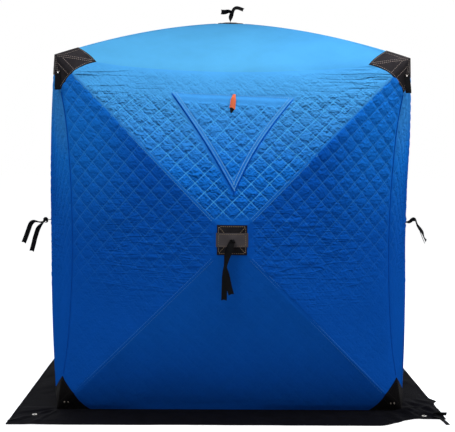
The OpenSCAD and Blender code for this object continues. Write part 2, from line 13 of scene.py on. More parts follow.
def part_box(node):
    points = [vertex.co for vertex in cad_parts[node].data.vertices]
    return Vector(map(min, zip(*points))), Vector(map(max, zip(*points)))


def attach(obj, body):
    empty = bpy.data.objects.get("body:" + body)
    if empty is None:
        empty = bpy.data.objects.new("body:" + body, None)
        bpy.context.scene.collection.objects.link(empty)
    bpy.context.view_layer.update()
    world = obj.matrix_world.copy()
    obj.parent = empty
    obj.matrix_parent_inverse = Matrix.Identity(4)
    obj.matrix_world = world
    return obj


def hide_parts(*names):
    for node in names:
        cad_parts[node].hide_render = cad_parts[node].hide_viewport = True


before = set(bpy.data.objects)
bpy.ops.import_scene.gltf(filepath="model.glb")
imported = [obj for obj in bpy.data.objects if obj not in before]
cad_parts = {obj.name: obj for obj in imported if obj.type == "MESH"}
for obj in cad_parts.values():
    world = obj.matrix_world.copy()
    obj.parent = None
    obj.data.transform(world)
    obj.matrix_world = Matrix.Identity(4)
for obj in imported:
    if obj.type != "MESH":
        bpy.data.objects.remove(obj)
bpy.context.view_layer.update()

# Driving sizes, the first ones read from the frame
wall_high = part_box("left_wall")[1]
HALF = wall_high.y
CORNER_H = wall_high.z
MID_H = CORNER_H / 2
WALL_BULGE = 0.185
ROOF_RISE = 0.290
WALL_BOW = 0.015
ROOF_BOW = 0.035
EDGE_DRAW = 0.060
WALL_T = 0.006
SKIN = 0.0008
PATCH_T = 0.002
PATCH_LIFT = SKIN + PATCH_T
PATCH_UNDER = 0.0002
ROUND_REACH = 0.070
ROUND_DEPTH = 0.015
DIAMONDS = 19.4
TURNS = {"front": 0, "right": 90, "back": 180, "left": -90}
ALL_FACES = list(TURNS) + ["roof"]
CORNERS = [(cu, cv) for cu in (-1, 1) for cv in (-1, 1)]


# Shape of the faces

def smooth(low, high, x):
    """0 below low, 1 above high, and a smooth step between."""
    t = np.clip((np.asarray(x, float) - low) / (high - low), 0, 1)
    return t * t * (3 - 2 * t)


def noise(x, y, seed):
    """Smooth noise from -1 to 1 with one bump per unit."""
    table = np.random.RandomState(seed).rand(64, 64) * 2 - 1
    x, y = np.asarray(x, float), np.asarray(y, float)
    xi, yi = np.floor(x).astype(int), np.floor(y).astype(int)
    fx, fy = x - xi, y - yi
    fx, fy = fx * fx * (3 - 2 * fx), fy * fy * (3 - 2 * fy)
    pick = lambda i, j: table[(xi + i) & 63, (yi + j) & 63]
    near = pick(0, 0) * (1 - fx) + pick(1, 0) * fx
    far = pick(0, 1) * (1 - fx) + pick(1, 1) * fx
    return near * (1 - fy) + far * fy


def lattice(rows, columns):
    """Two grids that hold the row's and the column's value at each point."""
    return np.meshgrid(rows, columns, indexing="ij")


def unit(ways):
    """Directions of length one."""
    return ways / np.maximum(np.linalg.norm(ways, axis=-1, keepdims=True), 1e-12)


def reach_of(points):
    """Distance along a path at each of its points."""
    return np.concatenate([[0], np.cumsum(np.linalg.norm(np.diff(points, axis=0), axis=1))])


def arc_height(run, rise, bow, r):
    """Height of a bowed pole over the corner plane at distance r from the hub."""
    chord = math.hypot(run, rise)
    radius = (chord * chord / 4 + bow * bow) / (2 * bow)
    x0 = run / 2 + rise / chord * (bow - radius)
    z0 = rise / 2 + run / chord * (bow - radius)
    return z0 + np.sqrt(radius * radius - (r - x0) ** 2)


def sag(u, v):
    """How far the cloth between two poles is drawn in."""
    big, small = np.maximum(abs(u), abs(v)), np.minimum(abs(u), abs(v))
    return EDGE_DRAW * (big * big - small * small)


def edge_round(u, v):
    """How far the soft edge between two faces is rounded off, along each of the two directions."""
    big, small = np.maximum(abs(u), abs(v)), np.minimum(abs(u), abs(v))
    near = np.clip(1 - (1 - big) * HALF / ROUND_REACH, 0, 1)
    middle = smooth(0.06, 0.40, 1 - small / np.maximum(big, 1e-6))
    return ROUND_DEPTH / math.sqrt(2) * near * near * middle


def wall_xyz(u, v, lift=0.0):
    """Point of the front wall: u across and v up, both -1 to 1."""
    u, v = np.broadcast_arrays(np.asarray(u, float), np.asarray(v, float))
    upright = abs(v) >= abs(u)
    d = np.where(upright & (v < 0), 0.0, sag(u, v) + edge_round(u, v))
    run = math.hypot(HALF, MID_H)
    rise = arc_height(run, WALL_BULGE, WALL_BOW, np.maximum(abs(u), abs(v)) * run)
    x = (HALF + lift) * u - np.where(upright, 0, np.sign(u) * d)
    y = -(HALF + lift + rise - d)
    z = MID_H + np.where(v > 0, MID_H + lift, MID_H) * v - np.where(upright, np.sign(v) * d, 0)
    return np.stack([x, y, z], -1)


def wall_uv(x, z):
    """The u and v of the front wall at a place x across and z up."""
    x, z = np.broadcast_arrays(np.asarray(x, float), np.asarray(z, float))
    u, v = x / HALF, (z - MID_H) / MID_H
    for again in range(15):
        upright = abs(v) >= abs(u)
        d = np.where(upright & (v < 0), 0.0, sag(u, v))
        u = (x + np.where(upright, 0, np.sign(x) * d)) / HALF
        v = (z - MID_H + np.where(upright, d, 0)) / MID_H
    return u, v


def roof_xyz(u, v, lift=0.0):
    """Point of the roof: u to the right and v to the back."""
    u, v = np.broadcast_arrays(np.asarray(u, float), np.asarray(v, float))
    upright = abs(v) >= abs(u)
    d = sag(u, v) + edge_round(u, v)
    run = math.hypot(HALF, HALF)
    rise = arc_height(run, ROOF_RISE, ROOF_BOW, np.maximum(abs(u), abs(v)) * run)
    x = (HALF + lift) * u - np.where(upright, 0, np.sign(u) * d)
    y = (HALF + lift) * v - np.where(upright, np.sign(v) * d, 0)
    return np.stack([x, y, CORNER_H + lift + rise - d], -1)


def turned(points, degrees):
    """Points of the front wall turned about the vertical axis."""
    c, s = math.cos(math.radians(degrees)), math.sin(math.radians(degrees))
    return points @ np.array([[c, s, 0], [-s, c, 0], [0, 0, 1]])


def face_xyz(face, u, v, lift=0.0):
    """Point of any face at a height over it."""
    if face == "roof":
        return roof_xyz(u, v, lift)
    return turned(wall_xyz(u, v, lift), TURNS[face])


def raised(face, u, v, lift):
    """Points at a height over a face, and the direction outward at each."""
    low = face_xyz(face, u, v, lift)
    return low, face_xyz(face, u, v, lift + 0.01) - low


# Materials

def put(tree, socket, value):
    """Sets an input to a plain value or links it to the output of another node."""
    if isinstance(value, bpy.types.NodeSocket):
        tree.links.new(value, socket)
    else:
        socket.default_value = value


def node(tree, kind, **settings):
    """A shader node with its properties set, and its inputs by name or number."""
    made = tree.nodes.new(kind)
    for key, value in settings.items():
        if key.startswith("in_"):
            name = key[3:]
            put(tree, made.inputs[int(name) if name.isdigit() else name], value)
        else:
            setattr(made, key, value)
    return made


def calc(tree, operation, *values):
    """Output of a math node whose inputs are sockets or plain numbers."""
    made = node(tree, "ShaderNodeMath", operation=operation)
    for socket, value in zip(made.inputs, values):
        put(tree, socket, value)
    return made.outputs[0]


def mixed(tree, weight, first, second):
    """Colour between two sockets or plain colours."""
    made = node(tree, "ShaderNodeMix", data_type="RGBA", in_Factor=weight)
    for key, value in (("A", first), ("B", second)):
        put(tree, next(s for s in made.inputs if s.name == key and s.type == "RGBA"), value)
    return next(s for s in made.outputs if s.type == "RGBA")


def set_inputs(tree, shader, **inputs):
    """Sets inputs of a Principled shader by their names, with underscores for spaces."""
    for key, value in inputs.items():
        put(tree, shader.inputs[key.replace("_", " ")], value)


def principled(name, **inputs):
    """A new material, its node tree and its Principled shader."""
    material = bpy.data.materials.new(name)
    material.use_nodes = True
    shader = material.node_tree.nodes["Principled BSDF"]
    set_inputs(material.node_tree, shader, **inputs)
    return material, material.node_tree, shader


def srgb(r, g, b):
    """Linear colour of an sRGB colour given 0 to 255."""
    lin = lambda c: c / 12.92 if c <= 0.04045 else ((c + 0.055) / 1.055) ** 2.4
    return tuple(lin(c / 255) for c in (r, g, b)) + (1.0,)


def shade(colour, k):
    return tuple(min(1.0, c * k) for c in colour[:3]) + (1.0,)


def place_of(tree):
    return node(tree, "ShaderNodeTexCoord").outputs["Object"]


def speckle(tree, place, scale, detail, rough=0.5):
    """Value of a noise texture, from 0 to 1."""
    settings = dict(in_Scale=scale, in_Detail=detail, in_Roughness=rough)
    return node(tree, "ShaderNodeTexNoise", in_Vector=place, **settings).outputs["Fac"]


def mottle(tree, place, colour, spread, scale=5.0):
    """The colour a little darker and lighter in soft patches."""
    ramp = node(tree, "ShaderNodeValToRGB", in_Fac=speckle(tree, place, scale, 5.0, 0.6))
    for stop, at, k in zip(ramp.color_ramp.elements, (0.3, 0.7), (1 - spread, 1 + spread)):
        stop.position = at
        stop.color = shade(colour, k)
    return ramp.outputs["Color"]


def weave(tree, place, period):
    """Height of crossing threads with that spacing, on faces that look any way."""
    waves = []
    for way in ((1.0, 1.0, 0.0), (0.7, -0.7, 1.0)):
        along = node(tree, "ShaderNodeVectorMath", operation="DOT_PRODUCT", in_0=place, in_1=way)
        turn = calc(tree, "MULTIPLY", along.outputs["Value"], 2 * math.pi / period)
        waves.append(calc(tree, "SINE", turn))
    return calc(tree, "MULTIPLY", *waves)


def bump(tree, height, distance, strength=1.0, **under):
    """Normal of a surface with that height, over another normal where one is given as in_Normal."""
    settings = dict(in_Strength=strength, in_Distance=distance, **under)
    return node(tree, "ShaderNodeBump", in_Height=height, **settings).outputs["Normal"]


def cloth(name, colour, spread=0.15, rough=0.70, gloss=0.06, period=0.0016, strength=0.4):
    """Plain woven cloth or webbing: patchy colour and thread bump."""
    material, tree, shader = principled(name, Roughness=rough, Specular_IOR_Level=gloss)
    place = place_of(tree)
    set_inputs(tree, shader, Base_Color=mottle(tree, place, colour, spread, 14.0))
    set_inputs(tree, shader, Normal=bump(tree, weave(tree, place, period), 0.0004, strength))
    return material


def painted(tree, name):
    """Value that the mesh carries under that name."""
    return node(tree, "ShaderNodeAttribute", attribute_name=name).outputs["Fac"]


def ranged(tree, value, inside, outside):
    """A value taken from one range to another and held there."""
    ends = dict(in_1=inside[0], in_2=inside[1], in_3=outside[0], in_4=outside[1])
    return node(tree, "ShaderNodeMapRange", in_0=value, **ends).outputs[0]


def quilt_map(tree):
    """The quilt map: the quilting lines run where it passes whole numbers."""
    return node(tree, "ShaderNodeUVMap", uv_map="quilt").outputs["UV"]


def line_gaps(tree):
    """How far the nearest quilting line of each of the two directions is, in diamonds."""
    split = node(tree, "ShaderNodeSeparateXYZ", in_0=quilt_map(tree))
    return [calc(tree, "PINGPONG", split.outputs[axis], 0.5) for axis in ("X", "Y")]


def quilt_lines(tree):
    """1 along the quilting lines and 0 between."""
    near = [ranged(tree, gap, (0.010, 0.046), (1.0, 0.0)) for gap in line_gaps(tree)]
    return calc(tree, "MAXIMUM", *near)


def stretched_noise(tree, place, scale, detail=1.0):
    """Noise drawn out along the directions with a small scale, from about -0.5 to 0.5."""
    stretch = node(tree, "ShaderNodeMapping", in_Vector=place, in_Scale=scale)
    return calc(tree, "SUBTRACT", speckle(tree, stretch.outputs[0], 1.0, detail), 0.5)


def puckers(tree, place):
    """Height of the wrinkles in the quilting: short ones square to each line, longer ones between."""
    quilt = quilt_map(tree)
    gaps = line_gaps(tree)
    total = calc(tree, "MULTIPLY", stretched_noise(tree, place, (20.0, 20.0, 52.0), 2.0), 0.8)
    for gap, scale in zip(gaps[::-1], ((6.5, 1.3, 1.0), (1.3, 6.5, 1.0))):
        close = ranged(tree, gap, (0.08, 0.45), (1.0, 0.1))
        total = calc(tree, "ADD", total, calc(tree, "MULTIPLY", stretched_noise(tree, quilt, scale), close))
    for gap in gaps:
        total = calc(tree, "MULTIPLY", total, ranged(tree, gap, (0.015, 0.12), (0.1, 1.0)))
    return total


def creases(tree, place):
    """Height with long narrow valleys: folds at the roof corners and, turned over, ridges at hub height."""
    off = calc(tree, "ABSOLUTE", stretched_noise(tree, place, (2.6, 2.6, 30.0)))
    return ranged(tree, off, (0.0, 0.05), (-1.0, 0.0))


def quilted(name, colours, thread):
    """Wall cloth: three blues, from deep in painted shade to light in painted light, mixed by a painted
    value; quilting threads and puckers.
    """
    material, tree, shader = principled(name, Roughness=0.55, Specular_IOR_Level=0.0, Sheen_Weight=0.12)
    place = place_of(tree)
    deep, bright, light = (mottle(tree, place, colour, 0.05) for colour in colours)
    fade = painted(tree, "fade")
    low = calc(tree, "MINIMUM", calc(tree, "MULTIPLY", fade, 1 / MIDDLE_PAINTED_LIGHT), 1.0)
    above = calc(tree, "SUBTRACT", fade, MIDDLE_PAINTED_LIGHT)
    high = calc(tree, "MAXIMUM", calc(tree, "MULTIPLY", above, 1 / (1 - MIDDLE_PAINTED_LIGHT)), 0.0)
    colour = mixed(tree, high, mixed(tree, low, deep, bright), light)
    weight = calc(tree, "MULTIPLY", quilt_lines(tree), painted(tree, "thread"))
    colour = mixed(tree, calc(tree, "MULTIPLY", weight, 0.66), colour, thread)
    set_inputs(tree, shader, Base_Color=colour, Sheen_Tint=colours[1])
    folds = calc(tree, "MULTIPLY", creases(tree, place), painted(tree, "crease"))
    soft = bump(tree, folds, 0.009)
    wrinkles = calc(tree, "MULTIPLY", puckers(tree, place), painted(tree, "pucker"))
    soft = bump(tree, wrinkles, 0.022, in_Normal=soft)
    set_inputs(tree, shader, Normal=bump(tree, weave(tree, place, 0.0014), 0.0003, 0.25, in_Normal=soft))
    return material


def metal(name, colour, rough):
    """Bright plated metal with fine wear."""
    material, tree, shader = principled(name, Metallic=1.0, Base_Color=colour)
    wear = speckle(tree, place_of(tree), 220.0, 4.0)
    set_inputs(tree, shader, Roughness=ranged(tree, wear, (0.0, 1.0), (rough * 0.7, rough * 1.3)))
    return material


def plastic(name, colour, rough, clear=0.0):
    """Moulded plastic or film with a fine grain."""
    material, tree, shader = principled(name, Roughness=rough, Transmission_Weight=clear)
    place = place_of(tree)
    set_inputs(tree, shader, Base_Color=mottle(tree, place, colour, 0.1, 900.0))
    set_inputs(tree, shader, Normal=bump(tree, speckle(tree, place, 900.0, 3.0), 0.0004, 0.15))
    return material


# One blue cloth in three copies: deep for painted shade, middle, and light for painted light where the walls
# are lit
BLUES = [srgb(16, 95, 204), srgb(28, 128, 236), srgb(88, 176, 232)]
MIDDLE_PAINTED_LIGHT = 0.35
MAT = {
    "quilt": quilted("quilted_cloth", BLUES, srgb(84, 186, 255)),
    # dark blue for the painted shade in the folds at the upright edges
    "edge": cloth("edge_seam_shade", srgb(15, 90, 196), 0.1, gloss=0.0),
    "skirt": cloth("skirt_cloth", srgb(14, 14, 18), 0.25, gloss=0.02, period=0.0015),
    "zip_tape": cloth("zip_tape", srgb(20, 20, 23), 0.2, period=0.0014, strength=0.5),
    "metal": metal("eyelet_metal", srgb(215, 213, 208), 0.22),
    "rivet": metal("rivet_metal", srgb(96, 90, 84), 0.40),
    "frame": plastic("frame_plastic", srgb(34, 34, 36), 0.45),
    "pole": plastic("fibreglass", srgb(205, 203, 190), 0.35),
    "film": plastic("clear_film", srgb(205, 220, 228), 0.12, clear=0.8),
}
# One black patch cloth in three copies: roof_patch lighter as painted light from above, base_patch darker as
# painted shade at the foot
PATCHES = {"patch": (38, 36, 39), "roof_patch": (48, 45, 48), "base_patch": (16, 15, 16)}
WEBBINGS = {
    "black": ((15, 15, 17), 0.2, 0.7),
    "grey": ((92, 86, 88), 0.15, 0.7),
    "orange": ((238, 120, 80), 0.12, 0.6),
}
THREADS = {
    "seam": ((88, 164, 230), 0.05),
    "flap": ((114, 182, 238), 0.05),
    "patch": ((150, 132, 112), 0.12),
    "corner": ((176, 162, 154), 0.12),
    # the base stitches darkened as painted shade at the foot, like the base patches
    "base": ((40, 37, 36), 0.12),
}
for key, colour in PATCHES.items():
    MAT[key] = cloth(key + "_cloth", srgb(*colour), 0.25, 0.6, 0.02, 0.0022, 0.6)
for key, (colour, spread, strength) in WEBBINGS.items():
    MAT[key] = cloth(key + "_webbing", srgb(*colour), spread, period=0.0018, strength=strength)
for key, (colour, spread) in THREADS.items():
    MAT[key + "_thread"] = cloth(key + "_thread", srgb(*colour), spread, period=0.0009)


# Pieces

def placed(name, data):
    """A new object in the scene."""
    made = bpy.data.objects.new(name, data)
    bpy.context.scene.collection.objects.link(made)
    return made


def piece(name, points, faces, material, slot, nodes=(), uv=None, values=None, crease=None):
    """A mesh object that rides on the shelter and stands for the CAD nodes named."""
    mesh = bpy.data.meshes.new(name)
    mesh.from_pydata(np.asarray(points, float).reshape(-1, 3).tolist(), [], faces)
    mesh.update()
    mesh.shade_smooth()
    if crease:
        mesh.set_sharp_from_angle(angle=math.radians(crease))
    if uv is not None:
        corner = np.zeros(len(mesh.loops), np.int32)
        mesh.loops.foreach_get("vertex_index", corner)
        layer = mesh.uv_layers.new(name="quilt")
        layer.data.foreach_set("uv", np.asarray(uv, np.float32)[corner].ravel())
    for key, value in (values or {}).items():
        value = np.asarray(value, np.float32).ravel()
        mesh.attributes.new(key, "FLOAT", "POINT").data.foreach_set("value", value)
    mesh.materials.append(material)
    made = placed(name, mesh)
    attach(made, "root")
    if nodes:
        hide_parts(*nodes)
    return made


def joined(parts):
    """One list of points and faces from several."""
    points, faces, count = [], [], 0
    for p, f in parts:
        p = np.asarray(p, float).reshape(-1, 3)
        points.append(p)
        faces += [tuple(i + count for i in face) for face in f]
        count += len(p)
    return np.concatenate(points), faces


def grid_faces(n, m, start=0, flip=False):
    """Quads of an n by m grid of points."""
    i, j = lattice(np.arange(n - 1), np.arange(m - 1))
    a = (i * m + j + start).ravel()
    quads = np.stack([a, a + m, a + m + 1, a + 1], 1)
    return [tuple(q) for q in (quads[:, ::-1] if flip else quads).tolist()]


def slab(top, under):
    """A closed sheet between two grids of points; rows by columns is counter-clockwise from outside."""
    n, m = top.shape[:2]
    rim = [i * m for i in range(n)] + [(n - 1) * m + j for j in range(1, m)]
    rim += [i * m + m - 1 for i in range(n - 2, -1, -1)] + list(range(m - 2, 0, -1))
    off = n * m
    edge = [(b, b + off, a + off, a) for a, b in zip(rim, rim[1:] + rim[:1])]
    faces = grid_faces(n, m) + grid_faces(n, m, off, True) + edge
    return np.concatenate([top.reshape(-1, 3), under.reshape(-1, 3)]), faces


def curve_through(points, most=38):
    """A smooth path through the points of a route (Catmull-Rom), with a few points on each leg."""
    pts = np.asarray(points, float)
    legs = len(pts) - 1
    per_leg = max(2, most // legs)
    pts = np.concatenate([[2 * pts[0] - pts[1]], pts, [2 * pts[-1] - pts[-2]]])
    out = []
    for i in range(1, legs + 1):
        a, b, c, d = pts[i - 1:i + 3]
        for t in np.arange(per_leg) / per_leg:
            cubic = (2 * a - 5 * b + 4 * c - d) * t * t + (3 * b - a - 3 * c + d) * t ** 3
            out.append(0.5 * (2 * b + (c - a) * t + cubic))
    out.append(pts[-2])
    return np.array(out)


# Quilted walls and roof

SEAM_V = 0.800
PAD, DEEPEST, FLANK_PAINTED_LIGHT = 0.0058, 0.0042, 0.25
FINE_CELL, PLAIN_CELL, ROOF_CELL = 10, 7, 6
FLAP_W, FLAP_H, FLAP_TOP = 0.632, 0.486, 0.196
FLAP_BOW = {-1: 0.014, 1: 0.026}
HUB_PATCH = 0.150
CORNER_REACH, CORNER_DROP = 0.205, 0.168
CORNER_NOTCH, ROOF_NOTCH = 0.090, 0.104


def lattice_faces(index, order):
    """Faces between the numbered points of a lattice: squares, and triangles where one corner is left out."""
    corners = [index[:-1, :-1], index[1:, :-1], index[1:, 1:], index[:-1, 1:]]
    corners = np.stack([corners[k] for k in order], -1).reshape(-1, 4)
    held = (corners >= 0).sum(1)
    faces = [tuple(c) for c in corners[held == 4].tolist()]
    return faces + [tuple(i for i in c if i >= 0) for c in corners[held == 3].tolist()]


def diamond_grid(n):
    """Steps p, q along the two pole directions, and point numbers, for the square |p| + |q| <= n."""
    span = np.arange(-n, n + 1)
    p, q = lattice(span, span)
    inside = abs(p) + abs(q) <= n
    index = np.full(p.shape, -1)
    index[inside] = np.arange(inside.sum())
    return p, q, inside, index


def outward(points):
    """Unit normals of a grid of points."""
    along, across = np.gradient(points, axis=0), np.gradient(points, axis=1)
    return unit(np.cross(along, across))


def cloth_face(name, xyz, cell, relief, turn, nodes):
    """A closed quilted face with so many steps to a diamond: relief gives its height and painted values."""
    n = 2 * round(DIAMONDS * cell / 2)
    p, q, inside, index = diamond_grid(n)
    u, v = (p - q) / n, (p + q) / n
    base = xyz(u, v)
    height, values = relief(u, v, p * DIAMONDS / n, q * DIAMONDS / n, base)
    outer = (base + outward(base) * height[..., None])[inside]
    keep = inside & (p % 2 == 0) & (q % 2 == 0)
    inner_index = np.full(p.shape, -1)
    inner_index[keep] = np.arange(keep.sum()) + len(outer)
    inner = xyz(u, v, -WALL_T)[keep]
    faces = lattice_faces(index, (0, 1, 2, 3)) + lattice_faces(inner_index[::2, ::2], (0, 3, 2, 1))
    for p0, q0, dp, dq in ((1, 0, -1, 1), (0, 1, -1, -1), (-1, 0, 1, -1), (0, -1, 1, 1)):
        for k in range(0, n, 2):
            at = [(n + n * p0 + dp * (k + s), n + n * q0 + dq * (k + s)) for s in range(3)]
            a, b, c = (int(index[i]) for i in at)
            d, e = int(inner_index[at[0]]), int(inner_index[at[2]])
            faces += [(b, a, d), (b, d, e), (c, b, e)]
    points = turned(np.concatenate([outer, inner]), turn)
    blank = np.zeros(len(inner))
    uv = np.concatenate([np.stack([p, q], -1)[inside] * DIAMONDS / n, np.zeros((len(inner), 2))])
    values = {key: np.concatenate([value[inside], blank]) for key, value in values.items()}
    return piece(name, points, faces, MAT["quilt"], "quilted_cloth", nodes, uv, values, crease=45)


def pillows(p, q):
    """Height from 0 to 1 of the padding between the quilting lines at whole p and q."""
    one = lambda t: 1 - abs(2 * (t % 1) - 1) ** 3.2
    return one(p) * one(q)


def painted_light_of(u, v, flank=0.0):
    """Painted light on the cloth, from deep blue in painted shade to azure: the high gores lighter upwards as
    if catching the sky, the side gores lighter high at their outer edges, the flanks lighter upwards.
    """
    top = smooth(-0.004, 0.004, v - abs(u))
    bottom = smooth(-0.004, 0.004, -v - abs(u))
    rest = 0.36 * smooth(-0.1, 0.7, v) * smooth(0.45, 0.85, abs(u)) + flank * smooth(0.1, 0.9, v)
    rest += 0.06 * bottom * smooth(-0.85, -0.45, v)
    return top * (0.13 + 0.71 * smooth(0.02, 0.96, v)) + (1 - top) * rest


def flap_edge(x, z):
    """Distance inside the slanted edges of the window flap, and below its top edge."""
    t = (CORNER_H - FLAP_TOP - z) / FLAP_H
    bow = np.where(x < 0, FLAP_BOW[-1], FLAP_BOW[1]) * np.sin(np.clip(t, 0, 1) * math.pi)
    slope = math.cos(math.atan2(FLAP_W / 2, FLAP_H))
    return (FLAP_W / 2 * (1 - t) - bow - abs(x)) * slope, t * FLAP_H


# Outline of the door at the back

DOOR_EDGE = HALF - EDGE_DRAW - 0.024
DOOR_INSET, DOOR_ROUND, ZIP_W = 0.072, 0.070, 0.030


def door_path(grow, per_turn=120):
    """Outline of the door: a triangle between two poles, set in and rounded at its corners."""
    tall = DOOR_EDGE * MID_H / HALF
    corners = np.array([(0, 0), (DOOR_EDGE, -tall), (DOOR_EDGE, tall)])
    legs = np.roll(corners, -1, axis=0) - corners
    normals = unit(np.stack([-legs[:, 1], legs[:, 0]], -1))
    before = np.roll(normals, 1, axis=0)
    inset = (DOOR_INSET + DOOR_ROUND) / (1 + (normals * before).sum(1, keepdims=True))
    inner = corners + (normals + before) * inset
    points = []
    for spot, first, last in zip(inner, -before, -normals):
        start, stop = math.atan2(first[1], first[0]), math.atan2(last[1], last[0])
        turn = (stop - start) % (2 * math.pi)
        arc = start + turn * np.linspace(0, 1, 12)
        points += list(spot + (DOOR_ROUND + grow) * np.stack([np.cos(arc), np.sin(arc)], -1))
    points = np.array(points + points[:1])
    reach = reach_of(points)
    even = np.linspace(0, reach[-1], per_turn * 3 + 1)
    return np.stack([np.interp(even, reach, points[:, k]) for k in range(2)], -1)


def wall_relief(seed, face):
    """Padding, folds and wrinkles of a wall as a function of the place, with its painted values."""
    def relief(u, v, p, q, base):
        x, z = base[..., 0], base[..., 2]
        out = np.maximum(abs(u), abs(v))
        top = smooth(-0.02, 0.02, v - abs(u))
        bottom = smooth(-0.02, 0.02, -v - abs(u))
        side = 1 - np.maximum(top, bottom)
        low_panel = smooth(SEAM_V + 0.05, SEAM_V - 0.03, v)
        strength = top * (0.16 + 0.20 * smooth(0.98, SEAM_V + 0.05, v) + 0.89 * low_panel) + bottom * 0.10
        strength = strength + side * (0.08 + 0.92 * smooth(-0.42, 0.40, v))
        pole = smooth(0.0, 0.16, np.minimum(abs(p), abs(q)))
        rim = smooth(0.0, 0.035, 1 - out)
        hub = smooth(0.075, 0.150, np.maximum(abs(x), abs(z - MID_H)))
        corner = smooth(0.14, 0.22, 2 - abs(u) - abs(v))
        quiet = pole * rim * hub * corner
        if face == "back":
            near = np.full(x.shape, 1.0)
            for across, up in door_path(0.0):
                near = np.minimum(near, np.hypot(x - across, z - MID_H - up))
            quiet = quiet * smooth(0.018, 0.045, near)
        if face == "front":
            from_side, from_top = flap_edge(x, z)
            quiet = quiet * (1 - smooth(-0.016, 0.0, from_side) * smooth(-0.010, 0.0, from_top))
        pads = PAD * strength * pillows(p, q)
        crumple = noise(x / 0.070, z / 0.026, seed) + 0.7 * noise(x / 0.045, z / 0.019, seed + 1)
        pads += 0.0008 * crumple * (0.06 + strength * (top + 0.3 * side)) * (0.35 + 0.65 * pillows(p, q))
        glint = np.clip(noise(x / 0.10, z / 0.024, seed + 5) - 0.45, 0, 1)
        slack = side * smooth(0.45, 0.05, abs(v + 0.05)) * smooth(0.95, 0.6, abs(u))
        pads += 0.011 * glint * slack
        near_corner = np.exp(-((1 - abs(u)) / 0.40) ** 2) * smooth(0.62, 0.85, v) * top
        long_fold = noise(x / 0.15, (z + 0.10 * abs(x)) / 0.026, seed + 2)
        pads += (0.0034 * near_corner + 0.0008 * top * (1 - low_panel)) * long_fold
        pads += 0.0004 * top * smooth(SEAM_V - 0.006, SEAM_V + 0.006, v)
        edge = side * smooth(0.88, 0.985, abs(u))
        crease = noise(x / 0.014, z / 0.40, seed + 3)
        swell = 0.004 * noise(x / 0.35, z / 0.30, seed + 4)
        height = np.maximum((pads + swell) * quiet, -DEEPEST) + 0.0013 * edge * crease * rim
        return height, {
            "thread": np.maximum(strength * (0.40 + 0.6 * top), 0.42 * top) * quiet,
            # painted light and shade, mixed into the colour of the cloth
            "fade": painted_light_of(u, v, FLANK_PAINTED_LIGHT if face in ("left", "right") else 0.0),
            "pucker": (0.08 + strength * (top + 0.40 * side) + 0.20 * slack) * quiet,
            "crease": (near_corner - 0.30 * slack) * quiet,
        }
    return relief


def roof_relief(u, v, p, q, base):
    """The same for the roof, which is drawn almost smooth."""
    x, y = base[..., 0], base[..., 1]
    out = np.maximum(abs(u), abs(v))
    quiet = smooth(0.0, 0.04, 1 - out) * smooth(0.0, 0.2, np.minimum(abs(p), abs(q)))
    border = smooth(0.55, 0.97, out)
    along_x = noise(x / 0.16, y / 0.030, 40) * (abs(v) >= abs(u))
    along_y = noise(x / 0.030, y / 0.16, 41) * (abs(u) > abs(v))
    height = 0.0012 * (along_x + along_y) * border + 0.003 * noise(x / 0.4, y / 0.4, 42)
    height = (height + 0.0006 * pillows(p, q)) * quiet
    # The roof carries painted light, a little less towards +x as painted shade.
    return height, {"thread": 0.15 * quiet, "fade": 1 - 0.12 * smooth(0.0, 0.7, u), "pucker": 0.05 * quiet}


for seed, (face, turn) in enumerate(TURNS.items()):
    covered = [face + "_wall"] + (["door_panel"] if face == "back" else [])
    relief = wall_relief(100 + 10 * seed, face)
    cell = FINE_CELL if face == "front" else PLAIN_CELL
    wall = cloth_face(face + "_wall_cloth", wall_xyz, cell, relief, turn, covered)
roof = cloth_face("roof_cloth", roof_xyz, ROOF_CELL, roof_relief, 0, ["roof"])


# Ribbons

def ribbon(path, side, width, thick, notch=0.0):
    """A flat webbing strap along a path; side is the direction of its width at each point."""
    path, side = np.asarray(path, float), np.asarray(side, float)
    tangent = unit(np.gradient(path, axis=0))
    side = unit(side - tangent * (side * tangent).sum(1, keepdims=True))
    normal = np.cross(tangent, side)
    lanes = np.linspace(-0.5, 0.5, 7)
    wide = np.asarray(width) * np.ones(len(path))
    middle = path[:, None] + side[:, None] * (lanes[None, :, None] * wide[:, None, None])
    middle[-1] += tangent[-1] * (notch * (2 * abs(lanes) - 1))[:, None]
    bead = 0.5 * thick * (1 + 0.25 * (abs(lanes) > 0.4))[None, :, None] * normal[:, None]
    return slab(middle + bead, middle - bead)


# Stitches

def stitch_run(points, ups, length=0.007, gap=0.0035, width=0.0026, high=0.0011):
    """Raised dashes of thread along a line of points, each with its outward direction."""
    points, ups = np.asarray(points, float), np.asarray(ups, float)
    reach = reach_of(points)
    at = lambda s, line: np.array([np.interp(s, reach, line[:, k]) for k in range(3)])
    verts, faces = [], []
    for s in np.arange(gap, reach[-1] - length, length + gap):
        a, b, up = at(s, points), at(s + length, points), unit(at(s + length / 2, ups))
        side = unit(np.cross(b - a, up)) * width / 2
        k = len(verts)
        for end, inset in ((a, 0.0), (a + (b - a) * 0.25, 1.0), (a + (b - a) * 0.75, 1.0), (b, 0.0)):
            verts += [end - side, end + up * high * inset, end + side]
        for r in range(3):
            t = k + 3 * r
            faces += [(t, t + 1, t + 4, t + 3), (t + 1, t + 2, t + 5, t + 4)]
    return verts, faces


def face_line(face, ends, lift, count=16):
    """Points and outward directions of a line straight across a face between two u, v ends."""
    (u0, v0), (u1, v1) = ends
    t = np.linspace(0, 1, count)
    return raised(face, u0 + (u1 - u0) * t, v0 + (v1 - v0) * t, lift)


# Tapes over the poles and the seam across each high gore

SLEEVE_W = 0.022


def notch_of(face):
    """How far from the corner a corner patch reaches along the pole."""
    return ROOF_NOTCH if face == "roof" else CORNER_NOTCH


